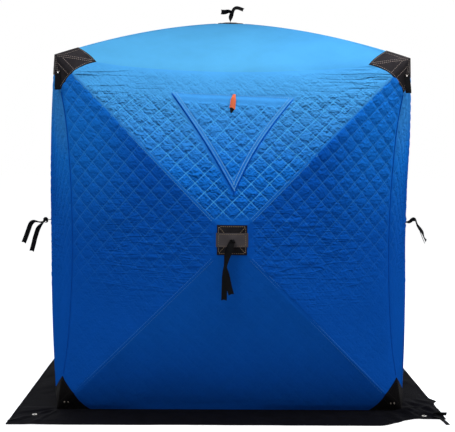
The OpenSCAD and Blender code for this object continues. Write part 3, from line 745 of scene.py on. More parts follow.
def tape(face, cu, cv):
    """A flat tape along one pole with its two edges turned down, and the painted light and shade of its
    colour.
    """
    first = (HUB_PATCH / 2 + SLEEVE_W / 2 + 0.004) / HALF
    last = 1 - (notch_of(face) + SLEEVE_W / 2 - 0.010) / HALF
    along = np.linspace(first, last, 90)
    across = np.array([-1, -0.8, -0.4, 0, 0.4, 0.8, 1]) * SLEEVE_W / 2 / HALF / math.sqrt(2)
    lift = np.array([0.0003, 0.0007, 0.0009, 0.0010, 0.0009, 0.0007, 0.0003])
    u = along[:, None] * cu - across[None, :] * cv
    v = along[:, None] * cv + across[None, :] * cu
    fade = np.ones_like(u) if face == "roof" else painted_light_of(u if cv < 0 else 0 * u, v) * 0.88
    return face_xyz(face, u, v, lift[None, :]), grid_faces(len(along), len(across)), fade.ravel()


def tape_stitches(face, cu, cv):
    """A run of thread inside each edge of a tape, bolder on the upper poles."""
    first, last = (HUB_PATCH / 2 + 0.02) / HALF, 1 - (notch_of(face) + 0.006) / HALF
    width = 0.0026 if cv > 0 else 0.0014
    runs = []
    for k in (-1, 1):
        off = k * (SLEEVE_W / 2 - 0.004) / HALF / math.sqrt(2)
        ends = [(q * cu - off * cv, q * cv + off * cu) for q in (first, last)]
        runs.append(stitch_run(*face_line(face, ends, 0.0013, 60), 0.008, 0.003, width, 0.0008))
    return runs


tapes = [tape(face, cu, cv) for face in ALL_FACES for cu, cv in CORNERS]
# painted light and shade of the tapes, after the cloth under them
tape_painted_light = np.concatenate([fade for points, faces, fade in tapes])
tape_blank = 0 * tape_painted_light
tape_values = {"fade": tape_painted_light, "thread": tape_blank, "pucker": 0.45 * tape_painted_light, "crease": tape_blank}
piece("pole_tape", *joined([(points, faces) for points, faces, fade in tapes]), MAT["quilt"], "pole_tape",
      ["pole_tapes"], np.zeros((len(tape_painted_light), 2)), tape_values)
seams = [run for face in ALL_FACES for cu, cv in CORNERS for run in tape_stitches(face, cu, cv)]
for face in TURNS:
    ends = [(-SEAM_V + 0.03, SEAM_V), (SEAM_V - 0.03, SEAM_V)]
    seams.append(stitch_run(*face_line(face, ends, 0.0012, 80), width=0.0018, high=0.0006))
piece("seam_stitches", *joined(seams), MAT["seam_thread"], "pole_tape")
# Thin strips down the upright edges of the front and back: a seam coloured dark blue as the painted shade of
# the fold there.
edge_v, shaded_edge_seams = np.linspace(-0.80, 0.80, 60), []
for face in ("front", "back"):
    for cu in (-1, 1):
        path = face_xyz(face, cu + 0 * edge_v, edge_v, 0.0012)
        outside = np.sign(path) * [1, 1, 0] / math.sqrt(2)
        shaded_edge_seams.append(ribbon(path, np.cross(outside, [0, 0, 1.0]), 0.005, 0.0012))
piece("shaded_edge_seams", *joined(shaded_edge_seams), MAT["edge"], "pole_tape", crease=60)


# Hub patches and bands

def patch(grid, *place):
    """A patch of cloth between its outer grid and the one on the wall."""
    return slab(grid(*place, PATCH_LIFT), grid(*place, PATCH_UNDER))


def half_height(face):
    return HALF if face == "roof" else MID_H


def hub_grid(face, half_w, half_h, lift, steps=(25, 25)):
    """A rectangle of cloth on a hub, as a grid that follows the face."""
    across = np.linspace(-half_w, half_w, steps[0]) / HALF
    up = np.linspace(-half_h, half_h, steps[1]) / half_height(face)
    u, v = lattice(across, up)
    return face_xyz(face, u, v, lift)


def hub_stitches(face, lines, lift):
    """Thread along lines that are given in metres from the middle of a hub."""
    runs = []
    for line in lines:
        line = [(x / HALF, y / half_height(face)) for x, y in line]
        runs += [stitch_run(*face_line(face, ends, lift)) for ends in zip(line, line[1:])]
    return runs


BAND_W, BAND_H = 0.160, 0.070
band_parts, hub_threads = [], []
for face in ALL_FACES:
    half = HUB_PATCH / 2
    square = patch(hub_grid, face, half, half)
    piece(face + "_hub_square", *square, MAT["patch"], "patch_cloth", [face + "_hub_patch"], crease=50)
    ribs = 0.0004 * np.cos(np.linspace(-BAND_H / 2, BAND_H / 2, 61) / 0.0047 * 2 * math.pi)
    top = hub_grid(face, BAND_W / 2, BAND_H / 2, PATCH_LIFT + PATCH_T + ribs[None, :], (33, 61))
    under = hub_grid(face, BAND_W / 2, BAND_H / 2, PATCH_LIFT, (33, 61))
    band_parts.append(slab(top, under))
    m, n = half - 0.008, BAND_H / 2 - 0.006
    frame_line = [(-m, -m), (m, -m), (m, m), (-m, m), (-m, -m)]
    crosses = [[(i * m, j * m), (0.5 * i * m, j * n)] for j in (-1, 1) for i in (-1, 1)]
    hub_threads += hub_stitches(face, [frame_line] + crosses, PATCH_LIFT)
    bands = [[(-m, -n), (-0.3 * m, -n)], [(0.3 * m, -n), (m, -n)], [(-m, n), (m, n)]]
    bands += [[(i * m, -n), (i * m, n)] for i in (-1, 1)]
    hub_threads += hub_stitches(face, bands, PATCH_LIFT + PATCH_T)
piece("hub_webbing", *joined(band_parts), MAT["grey"], "grey_webbing", ["hub_bands"], crease=50)
piece("hub_stitches", *joined(hub_threads), MAT["patch_thread"], "grey_webbing")


# Corner patches

def kite_uv(corner, reach, drop, foot, i, j):
    """Place on a corner patch that is folded along the pole, with hollow free edges; i and j run 0 to 1."""
    face, cu, cv = corner
    apex = np.array([cu, cv * (1 - foot)])
    along = np.array([cu * (1 - reach / HALF), cv * (1 - foot)])
    down = np.array([cu, cv * (1 - drop / HALF)])
    mid = np.array([cu, cv]) * (1 - notch_of(face) / HALF)
    first, second = (along, down) if cu * cv > 0 else (down, along)
    i, j = np.asarray(i, float)[..., None], np.asarray(j, float)[..., None]
    share = np.minimum(i, j) / np.maximum(np.maximum(i, j), 1e-9)
    level = (i >= j) == (cu * cv > 0)
    hollow = -0.12 if face == "roof" else np.where(level, 0.22, 0.06)
    out = np.minimum(i, j) * (mid - apex)
    out = out + np.maximum(i - j, 0) * (first - apex) + np.maximum(j - i, 0) * (second - apex)
    return apex + out * (1 - hollow * share * (1 - share))


def kite(corner, reach, drop, foot, lift, count=13):
    """Grid of a corner patch."""
    i, j = lattice(np.linspace(0, 1, count), np.linspace(0, 1, count))
    uv = kite_uv(corner, reach, drop, foot, i, j)
    return face_xyz(corner[0], uv[..., 0], uv[..., 1], lift)


def kite_stitches(corner, reach, drop):
    """Thread inside the free edges, along the edges of the face, and on both sides of the pole."""
    face, cu, cv = corner
    runs = []
    t = np.linspace(0.03, 1, 14)
    for i, j in ((0.955 + 0 * t, 0.955 * t), (0.955 * t, 0.955 + 0 * t)):
        uv = kite_uv(corner, reach, drop, 0.0, i, j)
        runs.append(stitch_run(*raised(face, uv[:, 0], uv[:, 1], PATCH_LIFT), width=0.0020))
    notch, inset, beside = notch_of(face) / HALF, 0.006 / HALF, 0.015 / HALF
    rim, start, stop = 1 - inset, 1 - reach / HALF + 3 * inset, 1 - drop / HALF + 3 * inset
    lines = [[(start, rim), (rim, rim), (rim, stop)]]
    for k in (-1, 1):
        far, near = 1 - notch + inset, 1 - beside - inset
        lines.append([(far + k * beside, far - k * beside), (near + k * beside, near - k * beside)])
    for line in lines:
        for ends in zip(line, line[1:]):
            ends = [(cu * u, cv * v) for u, v in ends]
            runs.append(stitch_run(*face_line(face, ends, PATCH_LIFT), width=0.0020))
    return runs


def dome(centre, up, radius, high, count=20, rings=5):
    """A small rivet head."""
    up = unit(np.asarray(up, float))
    side = unit(np.cross(up, [0.3, 0.5, 0.8]))
    other = np.cross(up, side)
    turn = np.arange(count) * 2 * math.pi / count
    round_rim = np.cos(turn)[:, None] * side + np.sin(turn)[:, None] * other
    points = []
    for t in np.linspace(0, 0.46 * math.pi, rings):
        points += list(centre + round_rim * radius * math.cos(t) + up * high * math.sin(t))
    points.append(centre + up * high)
    faces = []
    for r in range(rings - 1):
        for k in range(count):
            n = (k + 1) % count
            faces.append((r * count + k, r * count + n, (r + 1) * count + n, (r + 1) * count + k))
    last = (rings - 1) * count
    faces += [(last + k, last + (k + 1) % count, rings * count) for k in range(count)]
    return points, faces


LOOP_W = 0.028
LOOP_ROUTE = [(0.0010, 0.000), (0.0030, -0.030), (0.0040, -0.060), (0.0045, -0.086), (0.0085, -0.098),
              (0.0125, -0.086), (0.0115, -0.060), (0.0080, -0.030), (0.0040, -0.002)]


def corner_loop(wall, cu):
    """A folded webbing loop sewn on the corner patch beside the upright edge, its stitches and its rivet."""
    spot = face_xyz(wall, 0.972 * cu, 0.915, PATCH_LIFT)
    out, across = turned(np.array([[0, -1.0, 0], [1.0, 0, 0]]), TURNS[wall])
    route = curve_through(LOOP_ROUTE, 48)
    down = np.array([0, 0, 1.0])
    spot = spot + across * 0.014 * cu
    sway = 0.004 + 0.006 * cu
    path = spot + np.outer(route[:, 0], out) + np.outer(route[:, 1], down - across * sway / 0.098)
    webbing = ribbon(path, np.tile(across, (len(path), 1)), LOOP_W, 0.002)
    runs = []
    for low in (0.006, 0.018):
        ends = [spot + out * 0.0062 - down * low + across * k * (LOOP_W / 2 - 0.003) for k in (-1, 1)]
        runs.append(stitch_run(np.linspace(*ends, 6), np.tile(out, (6, 1)), width=0.0020))
    rivet = dome(spot + out * 0.0056 - down * 0.012, out, 0.0040, 0.0024)
    return webbing, runs, rivet


rivets, corner_threads, loops, base_rivets, base_threads = [], [], [], [], []
for fy, wall in ((-1, "front"), (1, "back")):
    for sx, side_wall in ((-1, "left"), (1, "right")):
        wall_u, side_u = -fy * sx, fy * sx
        foot = 0.0023 / MID_H
        walls = [(wall, wall_u), (side_wall, side_u)]
        high = [((face, u, 1), CORNER_REACH, CORNER_DROP) for face, u in walls]
        high.append((("roof", sx, fy), CORNER_REACH, CORNER_REACH))
        low = [((face, u, -1), CORNER_DROP, CORNER_DROP) for face, u in walls]
        levels = [("roof", 0.0, high, corner_threads), ("base", foot, low, base_threads)]
        for level, rise, corners, threads in levels:
            name = f"{wall}_{side_wall}_{level}"
            sheets = joined([patch(kite, *corner, rise) for corner in corners])
            material = MAT[level + "_patch"]
            piece(name + "_corner", *sheets, material, "patch_cloth", [name + "_patch"], crease=50)
            for corner in corners:
                threads += kite_stitches(*corner)
        for k in (0.955, 0.935):
            base_rivets.append(dome(*raised(wall, wall_u * k, -0.955, PATCH_LIFT), 0.006, 0.0030))
        webbing, runs, rivet = corner_loop(wall, wall_u)
        loops.append(webbing)
        corner_threads += runs
        rivets.append(rivet)
piece("corner_stitches", *joined(corner_threads), MAT["corner_thread"], "grey_webbing")
piece("base_stitches", *joined(base_threads), MAT["base_thread"], "grey_webbing")
piece("corner_rivets", *joined(rivets), MAT["metal"], "eyelet_metal")
piece("base_rivets", *joined(base_rivets), MAT["rivet"], "eyelet_metal")
piece("corner_webbing", *joined(loops), MAT["black"], "black_webbing", ["corner_loops"], crease=50)


# Window flap and pull tab

BINDING, SHADED_EDGE, TOP_BAND, FLAP_ROWS, FLAP_COLS = 0.023, 0.007, 0.042, 140, 190
TIP_SWAY, TIP_DROP, FLAP_TILT = 0.010, 0.010, 0.012
FLAP_Z = CORNER_H - FLAP_TOP
DIAMOND_SIDE = math.hypot(HALF, MID_H) / DIAMONDS
t, s = lattice(np.linspace(0, 1, FLAP_ROWS), np.linspace(-1, 1, FLAP_COLS))
bow = np.where(s < 0, FLAP_BOW[-1], FLAP_BOW[1]) * np.sin(t * math.pi)
half_w = np.maximum(FLAP_W / 2 * (1 - t) - bow, 0.006)
flap_x = s * half_w + TIP_SWAY * t * t
flap_z = FLAP_Z - t * (FLAP_H + TIP_DROP * t) - FLAP_TILT * s * (1 - t)
flap_u, flap_v = wall_uv(flap_x, flap_z)
from_side = half_w * (1 - abs(s)) * math.cos(math.atan2(FLAP_W / 2, FLAP_H))
from_top = t * FLAP_H
edge = np.minimum(from_side, (1 - t) * FLAP_H + 0.004)
flap_p = (flap_x + flap_z) / math.sqrt(2) / DIAMOND_SIDE
flap_q = (flap_z - flap_x) / math.sqrt(2) / DIAMOND_SIDE
inside = smooth(BINDING, BINDING + 0.010, from_side) * smooth(TOP_BAND, TOP_BAND + 0.020, from_top)
crumple = noise(flap_x / 0.050, flap_z / 0.018, 70) + 0.6 * noise(flap_x / 0.026, flap_z / 0.012, 71)
lift = SKIN + 0.0080 * smooth(-0.001, 0.005, edge) * smooth(0.0, 0.030, from_top)
lift += 0.0006 * smooth(BINDING + 0.006, BINDING - 0.002, from_side) * smooth(-0.001, 0.004, edge)
lift += inside * (0.0050 * pillows(flap_p, flap_q) + 0.0012 * crumple)
lift += 0.0007 * noise(flap_x / 0.03, flap_z / 0.05, 72) * smooth(0.0, 0.01, edge)
# The flap's outer edge strip is painted dark as the shade under its raised edge, darkest on the left; the
# rest copies the wall's painted light.
edge_shade_paint = 0.02 + 0.45 * smooth(0.05, 0.25, flap_x)
flap_painted_light = edge_shade_paint + (1 - edge_shade_paint) * smooth(SHADED_EDGE * 0.6, SHADED_EDGE * 1.2, from_side)
flap_painted_light = flap_painted_light * painted_light_of(flap_u, flap_v) * 0.92
flap_values = {"fade": flap_painted_light, "thread": inside, "pucker": 0.12 + 0.98 * inside, "crease": 0 * inside}
flap_uv = np.stack([flap_p, flap_q], -1).reshape(-1, 2)
flap_sheet = wall_xyz(flap_u, flap_v, lift), grid_faces(FLAP_ROWS, FLAP_COLS)
flap = piece("window_flap_cloth", *flap_sheet, MAT["quilt"], "quilted_cloth", ["window_flap"],
             flap_uv, flap_values)
flap_runs = []
for inset in (SHADED_EDGE + 0.003, BINDING):
    for hand in (-1, 1):
        t = np.linspace(0.012, 1 - inset / 0.30, 60)
        x = FLAP_W / 2 * (1 - t) - FLAP_BOW[hand] * np.sin(t * math.pi) - inset * 1.19
        z = FLAP_Z - t * (FLAP_H + TIP_DROP * t) - FLAP_TILT * hand * (1 - t)
        u, v = wall_uv(hand * x + TIP_SWAY * t * t, z)
        flap_runs.append(stitch_run(*raised("front", u, v, SKIN + 0.0096), 0.010, 0.002, 0.0034, 0.0010))
x = np.linspace(-FLAP_W / 2 + 0.006, FLAP_W / 2 - 0.006, 60)
u, v = wall_uv(x, FLAP_Z + 0.002 - FLAP_TILT * x / (FLAP_W / 2))
flap_runs.append(stitch_run(*raised("front", u, v, SKIN + 0.0008), width=0.0020, high=0.0007))
piece("window_flap_stitches", *joined(flap_runs), MAT["flap_thread"], "pole_tape")

TAB_L, TAB_W, TAB_END = 0.082, 0.027, 0.024
t, s = lattice(np.linspace(0, 1, 30), np.linspace(-1, 1, 9))
wide = TAB_W / 2 * (0.55 + 0.45 * smooth(0.0, 0.7, t))
tab_u, tab_v = wall_uv(0.008 - 0.010 * t + s * wide, FLAP_Z + 0.004 - t * TAB_L - 0.004 * s * t)
stand = 0.0060 + 0.0125 * smooth(0.0, 0.5, t) + 0.006 * np.sin(t * math.pi) - 0.003 * s * s
tab = slab(wall_xyz(tab_u, tab_v, stand), wall_xyz(tab_u, tab_v, stand - 0.002))
piece("pull_tab_webbing", *tab, MAT["orange"], "orange_webbing", ["pull_tab"], crease=60)
t, s = lattice(np.linspace(0, 1, 8), np.linspace(-1, 1, 7))
wide = TAB_W * 0.46 * (1 - 0.8 * t)
tip_u, tip_v = wall_uv(-0.002 - 0.008 * t + s * wide, FLAP_Z + 0.008 - TAB_L - t * TAB_END - 0.004 * s)
stand = 0.0190 - 0.003 * s * s
tip = slab(wall_xyz(tip_u, tip_v, stand), wall_xyz(tip_u, tip_v, stand - 0.003))
piece("pull_tab_end", *tip, MAT["black"], "black_webbing", crease=60)


# Straps at the hubs: x across, y up and z out from the middle of the hub patch, then the turn in degrees

FRONT_TAILS = [
    [(0, 0, -0.024, 0), (0, 0, -0.008, 0), (0, 0, 0.008, 0), (0, -0.003, 0.021, 0),
     (-0.003, -0.010, 0.031, 0), (-0.010, -0.022, 0.036, 0), (-0.018, -0.040, 0.037, 5),
     (-0.024, -0.060, 0.035, 15), (-0.027, -0.080, 0.033, 35), (-0.030, -0.103, 0.032, 55),
     (-0.033, -0.127, 0.031, 62), (-0.034, -0.150, 0.030, 40), (-0.035, -0.180, 0.029, 15),
     (-0.036, -0.219, 0.028, 5), (-0.037, -0.259, 0.026, 0), (-0.038, -0.297, 0.024, 0)],
    [(0, -0.004, 0.028, 0), (-0.002, -0.014, 0.039, 0), (-0.007, -0.032, 0.045, 0),
     (-0.014, -0.054, 0.045, 5), (-0.023, -0.078, 0.043, 25), (-0.029, -0.102, 0.041, 45),
     (-0.032, -0.127, 0.040, 62), (-0.028, -0.150, 0.038, 45), (-0.023, -0.179, 0.037, 20),
     (-0.016, -0.214, 0.036, 5), (-0.010, -0.239, 0.035, 0), (-0.002, -0.267, 0.034, 0)]]
LEFT_TAILS = [
    [(0, 0, -0.024, 0), (0, 0, -0.008, 0), (0, 0, 0.008, 0), (0, -0.001, 0.024, 0), (0, -0.004, 0.040, 0),
     (0, -0.011, 0.054, 12), (0, -0.017, 0.068, 20), (0, -0.016, 0.086, 20), (0, -0.011, 0.108, 32),
     (0, -0.016, 0.125, 55), (0, -0.030, 0.137, 76), (0, -0.053, 0.146, 86), (0, -0.081, 0.156, 90),
     (0, -0.114, 0.168, 90), (0, -0.146, 0.181, 90)],
    [(0.002, -0.008, 0.048, 0), (0.004, -0.022, 0.062, 15), (0.005, -0.038, 0.077, 35),
     (0.005, -0.060, 0.091, 68), (0.005, -0.089, 0.101, 86), (0.005, -0.118, 0.110, 90),
     (0.005, -0.151, 0.118, 90), (0.005, -0.198, 0.131, 90)]]
RIGHT_TAILS = [
    [(0, 0, -0.024, 0), (0, 0, -0.008, 0), (0, 0, 0.006, 0), (0, 0, 0.020, 12), (0, 0, 0.033, 25),
     (0, 0.007, 0.046, 30), (0, 0.017, 0.055, 30), (0, 0.022, 0.065, 30), (0, 0.017, 0.074, 30),
     (0, 0.003, 0.080, 25), (0, -0.018, 0.088, 30), (0, -0.040, 0.104, 45), (0, -0.063, 0.121, 40),
     (0, -0.083, 0.128, 25), (0, -0.100, 0.135, 20), (0, -0.118, 0.147, 35)],
    [(-0.006, 0.015, 0.070, 10), (-0.009, 0, 0.079, 10), (-0.009, -0.022, 0.088, 10),
     (-0.009, -0.046, 0.099, 8), (-0.009, -0.075, 0.111, 8), (-0.009, -0.100, 0.121, 8),
     (-0.009, -0.130, 0.135, 8)]]
ROOF_TAILS = [
    [(0, 0, -0.024, 0), (0, 0, -0.008, 0), (0, 0, 0.008, 0), (0, 0.001, 0.022, 30), (0, 0.002, 0.036, 60),
     (0, 0.006, 0.050, 60), (0, 0.011, 0.064, 45), (0, 0.017, 0.078, 40), (0, 0.025, 0.088, 45),
     (0, 0.036, 0.092, 50), (0, 0.048, 0.091, 50), (0, 0.060, 0.087, 50), (0, 0.071, 0.083, 50),
     (0, 0.080, 0.079, 50)],
    [(0.002, 0.008, 0.054, 40), (0.004, 0.002, 0.065, 35), (0.005, -0.008, 0.070, 30),
     (0.005, -0.019, 0.069, 45), (0.005, -0.031, 0.066, 60), (0.005, -0.044, 0.065, 70),
     (0.005, -0.058, 0.066, 75)]]
FRONT_KNOT = (0, -0.007, 0.028, 0.012)
STRAPS = {
    "front": (FRONT_TAILS, FRONT_KNOT),
    "back": (FRONT_TAILS, FRONT_KNOT),
    "left": (LEFT_TAILS, (0, -0.002, 0.044, 0.015)),
    "right": (RIGHT_TAILS, (-0.002, 0.017, 0.064, 0.009)),
    "roof": (ROOF_TAILS, (0.001, 0.008, 0.056, 0.009)),
}
STRAP_W, STRAP_T = 0.028, 0.002


def hub_way(face, ways):
    """Directions given across, up and out from a hub, in the frame of the shelter."""
    x, y, z = np.moveaxis(np.asarray(ways, float), -1, 0)
    if face == "roof":
        return np.stack([y, -x, z], -1)
    return turned(np.stack([x, -z, y], -1), TURNS[face])


def hub_place(face, spots):
    """Places given across, up and out from a hub, in the frame of the shelter."""
    if face == "roof":
        return hub_way(face, spots) + (0, 0, CORNER_H + ROOF_RISE)
    return hub_way(face, spots) + turned(np.array([0, -HALF - WALL_BULGE, MID_H]), TURNS[face])


def ribbon_sides(path, turns):
    """Direction of a ribbon's width along a path: level, then turned about the path."""
    along = unit(np.gradient(path, axis=0))
    flat = unit(np.array([1.0, 0, 0]) - along * along[:, :1])
    turns = np.radians(turns)[:, None]
    return np.cos(turns) * flat + np.sin(turns) * np.cross(along, flat)


def knot_loop(centre, radius):
    """A pulled-tight knot: a ribbon that runs three times through itself."""
    t = np.linspace(0, 2 * math.pi, 61)
    loop = np.stack([np.sin(t) + 2 * np.sin(2 * t), np.cos(t) - 2 * np.cos(2 * t), -1.6 * np.sin(3 * t)], -1)
    loop *= radius * 0.36
    along = np.gradient(loop, axis=0)
    return loop + centre, np.cross(along, loop + 1e-6)


def strap_tail(name, face, route, nodes=()):
    """One tail of a strap as a piece, with the path that it follows."""
    line = curve_through(route)
    path = hub_place(face, line[:, :3])
    side = hub_way(face, ribbon_sides(line[:, :3], line[:, 3]))
    width = STRAP_W * (0.80 + 0.20 * smooth(0.0, 0.25, np.linspace(0, 1, len(path))))
    made = ribbon(path, side, width, STRAP_T, 0.004)
    return piece(name, *made, MAT["black"], "black_webbing", nodes, crease=50), path


for face, ((long_route, short_route), knot) in STRAPS.items():
    long_tail, long_path = strap_tail(face + "_strap_long", face, long_route, [face + "_strap"])
    short_tail, short_path = strap_tail(face + "_strap_short", face, short_route)
    loop, loop_side = knot_loop(np.array(knot[:3]), knot[3])
    tied = ribbon(hub_place(face, loop), hub_way(face, loop_side), 1.1 * knot[3], 0.0026)
    tied = piece(face + "_strap_knot", *tied, MAT["black"], "black_webbing", crease=60)


# Skirt on the ground

SKIRT_W, SKIRT_T = 0.230, 0.002
SKIRT_OUT = HALF + SKIRT_W
EYELET = SKIRT_OUT - 0.130


def skirt_plan(x, y, r):
    """Where the skirt lies: drawn in at both sides and at the front right corner, let out in front."""
    step = 1 - 0.9 * np.exp(-((y + 0.74) / 0.035) ** 2)
    pull_x = 0.030 * smooth(0.92, 1.02, x) * step - 0.018 * smooth(0.92, 1.02, -x)
    pull_y = 0.105 * smooth(0.74, 0.95, x) * smooth(-0.80, -1.0, y) - 0.028 * smooth(0.93, 1.02, -y)
    return x - r * pull_x, y + r * pull_y


def skirt_height(x, y, r):
    """Height of the cloth over the ground: soft waves, folds from the corners, and a flat hem."""
    wave = 0.5 * noise(x / 0.16, y / 0.16, 200) + 0.35 * noise(x / 0.06, y / 0.06, 201)
    round_corner = np.arctan2(abs(y) - HALF + 0.02, abs(x) - HALF + 0.02)
    fan = noise(round_corner * 5 + np.sign(x) * 3, np.sign(y) * 7, 202)
    fan *= smooth(0.0, 0.04, abs(x) - HALF + 0.04) * smooth(0.0, 0.04, abs(y) - HALF + 0.04)
    drawn = smooth(0.70, 0.90, x) * smooth(-0.60, -0.85, y)
    high = 0.007 * np.clip(wave + 0.25, 0, 1) + 0.008 * np.clip(fan, 0, 1)
    high += drawn * 0.014 * np.clip(noise(x / 0.07, (x + y) / 0.05, 203) + 0.2, 0, 1)
    eye = smooth(0.018, 0.050, np.hypot(abs(x) - EYELET, abs(y) - EYELET))
    hem = 0.0012 * smooth(0.93, 0.96, r)
    return high * smooth(0.0, 0.25, r) * (1 - 0.75 * smooth(0.75, 0.95, r)) * eye + hem


def skirt_ring(per_side=230, rows=30):
    """The whole skirt as one closed ring round the foot of the walls."""
    a = np.arange(per_side) / per_side * 2 - 1
    r = np.linspace(0, 1, rows)
    out = HALF + 0.002 + (SKIRT_W - 0.002) * r
    strip = np.stack([a[:, None] * out, -out + 0 * a[:, None], 0 * a[:, None] * out], -1)
    ring = np.concatenate([turned(strip, turn) for turn in TURNS.values()])
    x, y = ring[..., 0], ring[..., 1]
    reach = np.broadcast_to(r, x.shape)
    x, y = skirt_plan(x, y, reach)
    z = skirt_height(x, y, reach)
    count = len(ring)
    i, j = lattice(np.arange(count), np.arange(rows - 1))
    here, there = i * rows + j, (i + 1) % count * rows + j
    top = np.stack([here, here + 1, there + 1, there], -1).reshape(-1, 4)
    low = top[:, ::-1] + count * rows
    faces = [tuple(f) for f in np.concatenate([top, low]).tolist()]
    for edge, flip in ((rows - 1, 1), (0, -1)):
        k = np.arange(count)
        b, c = k * rows + edge, (k + 1) % count * rows + edge
        wall = np.stack([b, b + count * rows, c + count * rows, c], -1)[:, ::flip]
        faces += [tuple(f) for f in wall.tolist()]
    points = np.concatenate([np.stack([x, y, z + SKIRT_T], -1), np.stack([x, y, z], -1)])
    return points, faces


sides = [face + "_skirt" for face in TURNS]
skirt = piece("skirt_cloth", *skirt_ring(), MAT["skirt"], "skirt_cloth", sides, crease=60)


def tie_tail(points, tilt=0.0):
    """A short webbing tail on the ground, lying flat or tilted up by so many degrees."""
    path = curve_through(points, 20)
    flat = unit(np.cross(np.gradient(path, axis=0), [0, 0, 1.0]))
    lean = math.radians(tilt)
    return ribbon(path, flat * math.cos(lean) + np.array([0, 0, math.sin(lean)]), 0.020, 0.002)


STANDING_TIE = [(1.045, -1.000, 0.011), (1.070, -0.996, 0.014),
                (1.095, -0.992, 0.012), (1.118, -0.990, 0.011)]
LYING_TIE = [(1.046, -1.020, 0.008), (1.066, -1.055, 0.010), (1.080, -1.095, 0.006), (1.086, -1.140, 0.003)]
TIE_START, TIE_STEPS, TIE_HEIGHTS = SKIRT_OUT - 0.060, (0, 0.016, 0.0384), (0.006, 0.008, 0.005)
ties = [tie_tail(STANDING_TIE, 65), tie_tail(LYING_TIE)]
for sx, sy in ((-1, -1), (-1, 1), (1, 1)):
    outs = [TIE_START + step for step in TIE_STEPS]
    ties.append(tie_tail([(sx * out, sy * out, high) for out, high in zip(outs, TIE_HEIGHTS)]))
piece("skirt_ties", *joined(ties), MAT["black"], "black_webbing", crease=60)


# Zip round the door at the back

def back_uv(xy):
    """The u and v of places given across and up from the middle of the back wall."""
    return wall_uv(xy[..., 0], MID_H + xy[..., 1])


lanes = np.array([-1, -0.95, -0.25, -0.2, 0.2, 0.25, 0.95, 1]) * ZIP_W / 2
zip_lift = np.array([0.0002, 0.0022, 0.0022, 0.0028, 0.0028, 0.0022, 0.0022, 0.0002])
zip_xy = np.stack([door_path(lane) for lane in lanes[::-1]], 1)
zip_points = face_xyz("back", *back_uv(zip_xy), SKIN + zip_lift[None, :])
zip_faces = grid_faces(*zip_xy.shape[:2])
piece("door_zip_tape", zip_points, zip_faces, MAT["zip_tape"], "zip", ["door_zip"], crease=60)
teeth_low, teeth_up = raised("back", *back_uv(door_path(0.0)), SKIN + 0.0028)
teeth = stitch_run(teeth_low, teeth_up, length=0.0035, gap=0.0020, width=0.0060, high=0.0016)
piece("door_zip_teeth", *teeth, MAT["frame"], "zip", crease=40)
slider_at = len(teeth_low) * 5 // 12
slider_low, slider_up = teeth_low[slider_at], teeth_up[slider_at]
slider = [dome(slider_low + slider_up * 0.1, slider_up, 0.009, 0.006)]
pull = np.array([slider_low + slider_up * 0.55 - np.array([0, 0, 0.006 * k]) for k in range(8)])
slider.append(ribbon(pull, np.tile([1.0, 0, 0], (8, 1)), 0.008, 0.0018))
piece("door_zip_slider", *joined(slider), MAT["metal"], "eyelet_metal", crease=60)


# CAD pieces that stay

def dress(material, *names):
    """Gives CAD pieces that stay in view their material."""
    for name in names:
        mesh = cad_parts[name].data
        mesh.materials.clear()
        mesh.materials.append(material)


dress(MAT["pole"], *(f + "_poles" for f in ALL_FACES))
dress(MAT["frame"], *(f + "_hub" for f in ALL_FACES), "roof_corner_pieces", "ground_corner_pieces")
dress(MAT["metal"], "skirt_eyelets")
dress(MAT["film"], "window_pane")


# Camera, light and floor

CAMERA_AT = (-0.0905, -5.3636, 1.3944)
CAMERA_YAW, CAMERA_PITCH, CAMERA_ROLL = -0.893, -4.793, 0.515
FOCAL_PX, IMAGE_W = 870.0, 455

lens = bpy.data.cameras.new("camera")
lens.sensor_width = 36.0
lens.lens = FOCAL_PX / IMAGE_W * lens.sensor_width
camera = placed("camera", lens)
spin = lambda degrees, axis: Matrix.Rotation(math.radians(degrees), 4, axis)
aim = spin(CAMERA_YAW, "Z") @ spin(90 + CAMERA_PITCH, "X") @ spin(CAMERA_ROLL, "Z")
camera.matrix_world = Matrix.Translation(CAMERA_AT) @ aim
bpy.context.scene.camera = camera
bpy.context.scene.view_settings.view_transform = "Standard"


def area_lamp(name, at, aim, size, watts):
    """A white rectangular lamp that looks at a point."""
    lamp = bpy.data.lights.new(name, "AREA")
    lamp.shape, lamp.energy = "RECTANGLE", watts
    lamp.size, lamp.size_y = size
    made = placed(name, lamp)
    made.location = at
    made.rotation_euler = (Vector(aim) - Vector(at)).to_track_quat("-Z", "Y").to_euler()


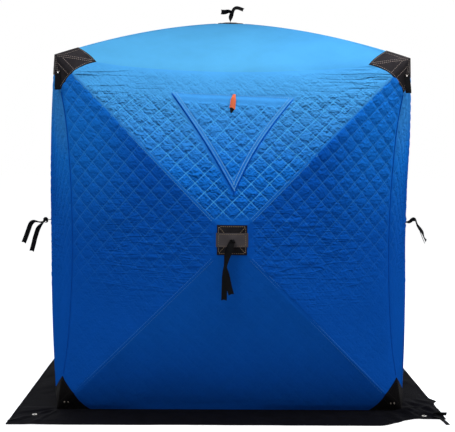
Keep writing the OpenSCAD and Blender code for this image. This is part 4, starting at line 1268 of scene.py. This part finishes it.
area_lamp("softbox", (0.51, -1.75, 3.15), (0.1, -0.9, 1.2), (5.0, 1.2), 69)
for name, x, y, watts in (("left_fill", -3.4, 0.1, 22), ("right_fill", 3.4, -0.6, 16)):
    area_lamp(name, (x, y, 2.2), (0.0, -0.3, 1.0), (2.0, 2.0), watts)
area_lamp("back_fill", (0.0, 3.6, 4.0), (0.0, 0.4, 1.2), (3.0, 2.0), 40)


def seen(tree):
    """1 for rays from the camera, in gloss and through glass, and 0 for light that bounces."""
    path = node(tree, "ShaderNodeLightPath").outputs
    gloss = calc(tree, "MAXIMUM", path["Is Camera Ray"], path["Is Glossy Ray"])
    return calc(tree, "MAXIMUM", gloss, path["Is Transmission Ray"])


def shown_and_bounced(tree, bounced, shown, output):
    """What the camera sees and what light bounces from, each its own shader."""
    shaders = dict(in_1=bounced.outputs[0], in_2=shown.outputs[0])
    blend = node(tree, "ShaderNodeMixShader", in_0=seen(tree), **shaders)
    node(tree, output, in_0=blend.outputs[0])


def empty_tree(owner):
    """The node tree of a world or a material, with nothing in it."""
    owner.use_nodes = True
    owner.node_tree.nodes.clear()
    return owner.node_tree


world = bpy.data.worlds.new("world")
bpy.context.scene.world = world
tree = empty_tree(world)
white = node(tree, "ShaderNodeBackground", in_Color=(1, 1, 1, 1), in_Strength=1.0)
fill = node(tree, "ShaderNodeBackground", in_Color=(0.90, 0.95, 1.0, 1), in_Strength=0.16)
shown_and_bounced(tree, fill, white, "ShaderNodeOutputWorld")

ground = bpy.data.materials.new("floor")
tree = empty_tree(ground)
pale = node(tree, "ShaderNodeBsdfDiffuse", in_Color=(0.84, 0.84, 0.84, 1))
glow = node(tree, "ShaderNodeEmission", in_Color=(1, 1, 1, 1), in_Strength=0.88)
lit = node(tree, "ShaderNodeAddShader", in_0=pale.outputs[0], in_1=glow.outputs[0])
dim = node(tree, "ShaderNodeBsdfDiffuse", in_Color=(0.62, 0.62, 0.62, 1))
shown_and_bounced(tree, dim, lit, "ShaderNodeOutputMaterial")
FLOOR = 30.0
floor_mesh = bpy.data.meshes.new("floor")
floor_corners = [(-FLOOR, -FLOOR, 0), (FLOOR, -FLOOR, 0), (FLOOR, FLOOR, 0), (-FLOOR, FLOOR, 0)]
floor_mesh.from_pydata(floor_corners, [], [(0, 1, 2, 3)])
floor_mesh.materials.append(ground)
floor = placed("floor", floor_mesh)
floor.location.z = -0.0005
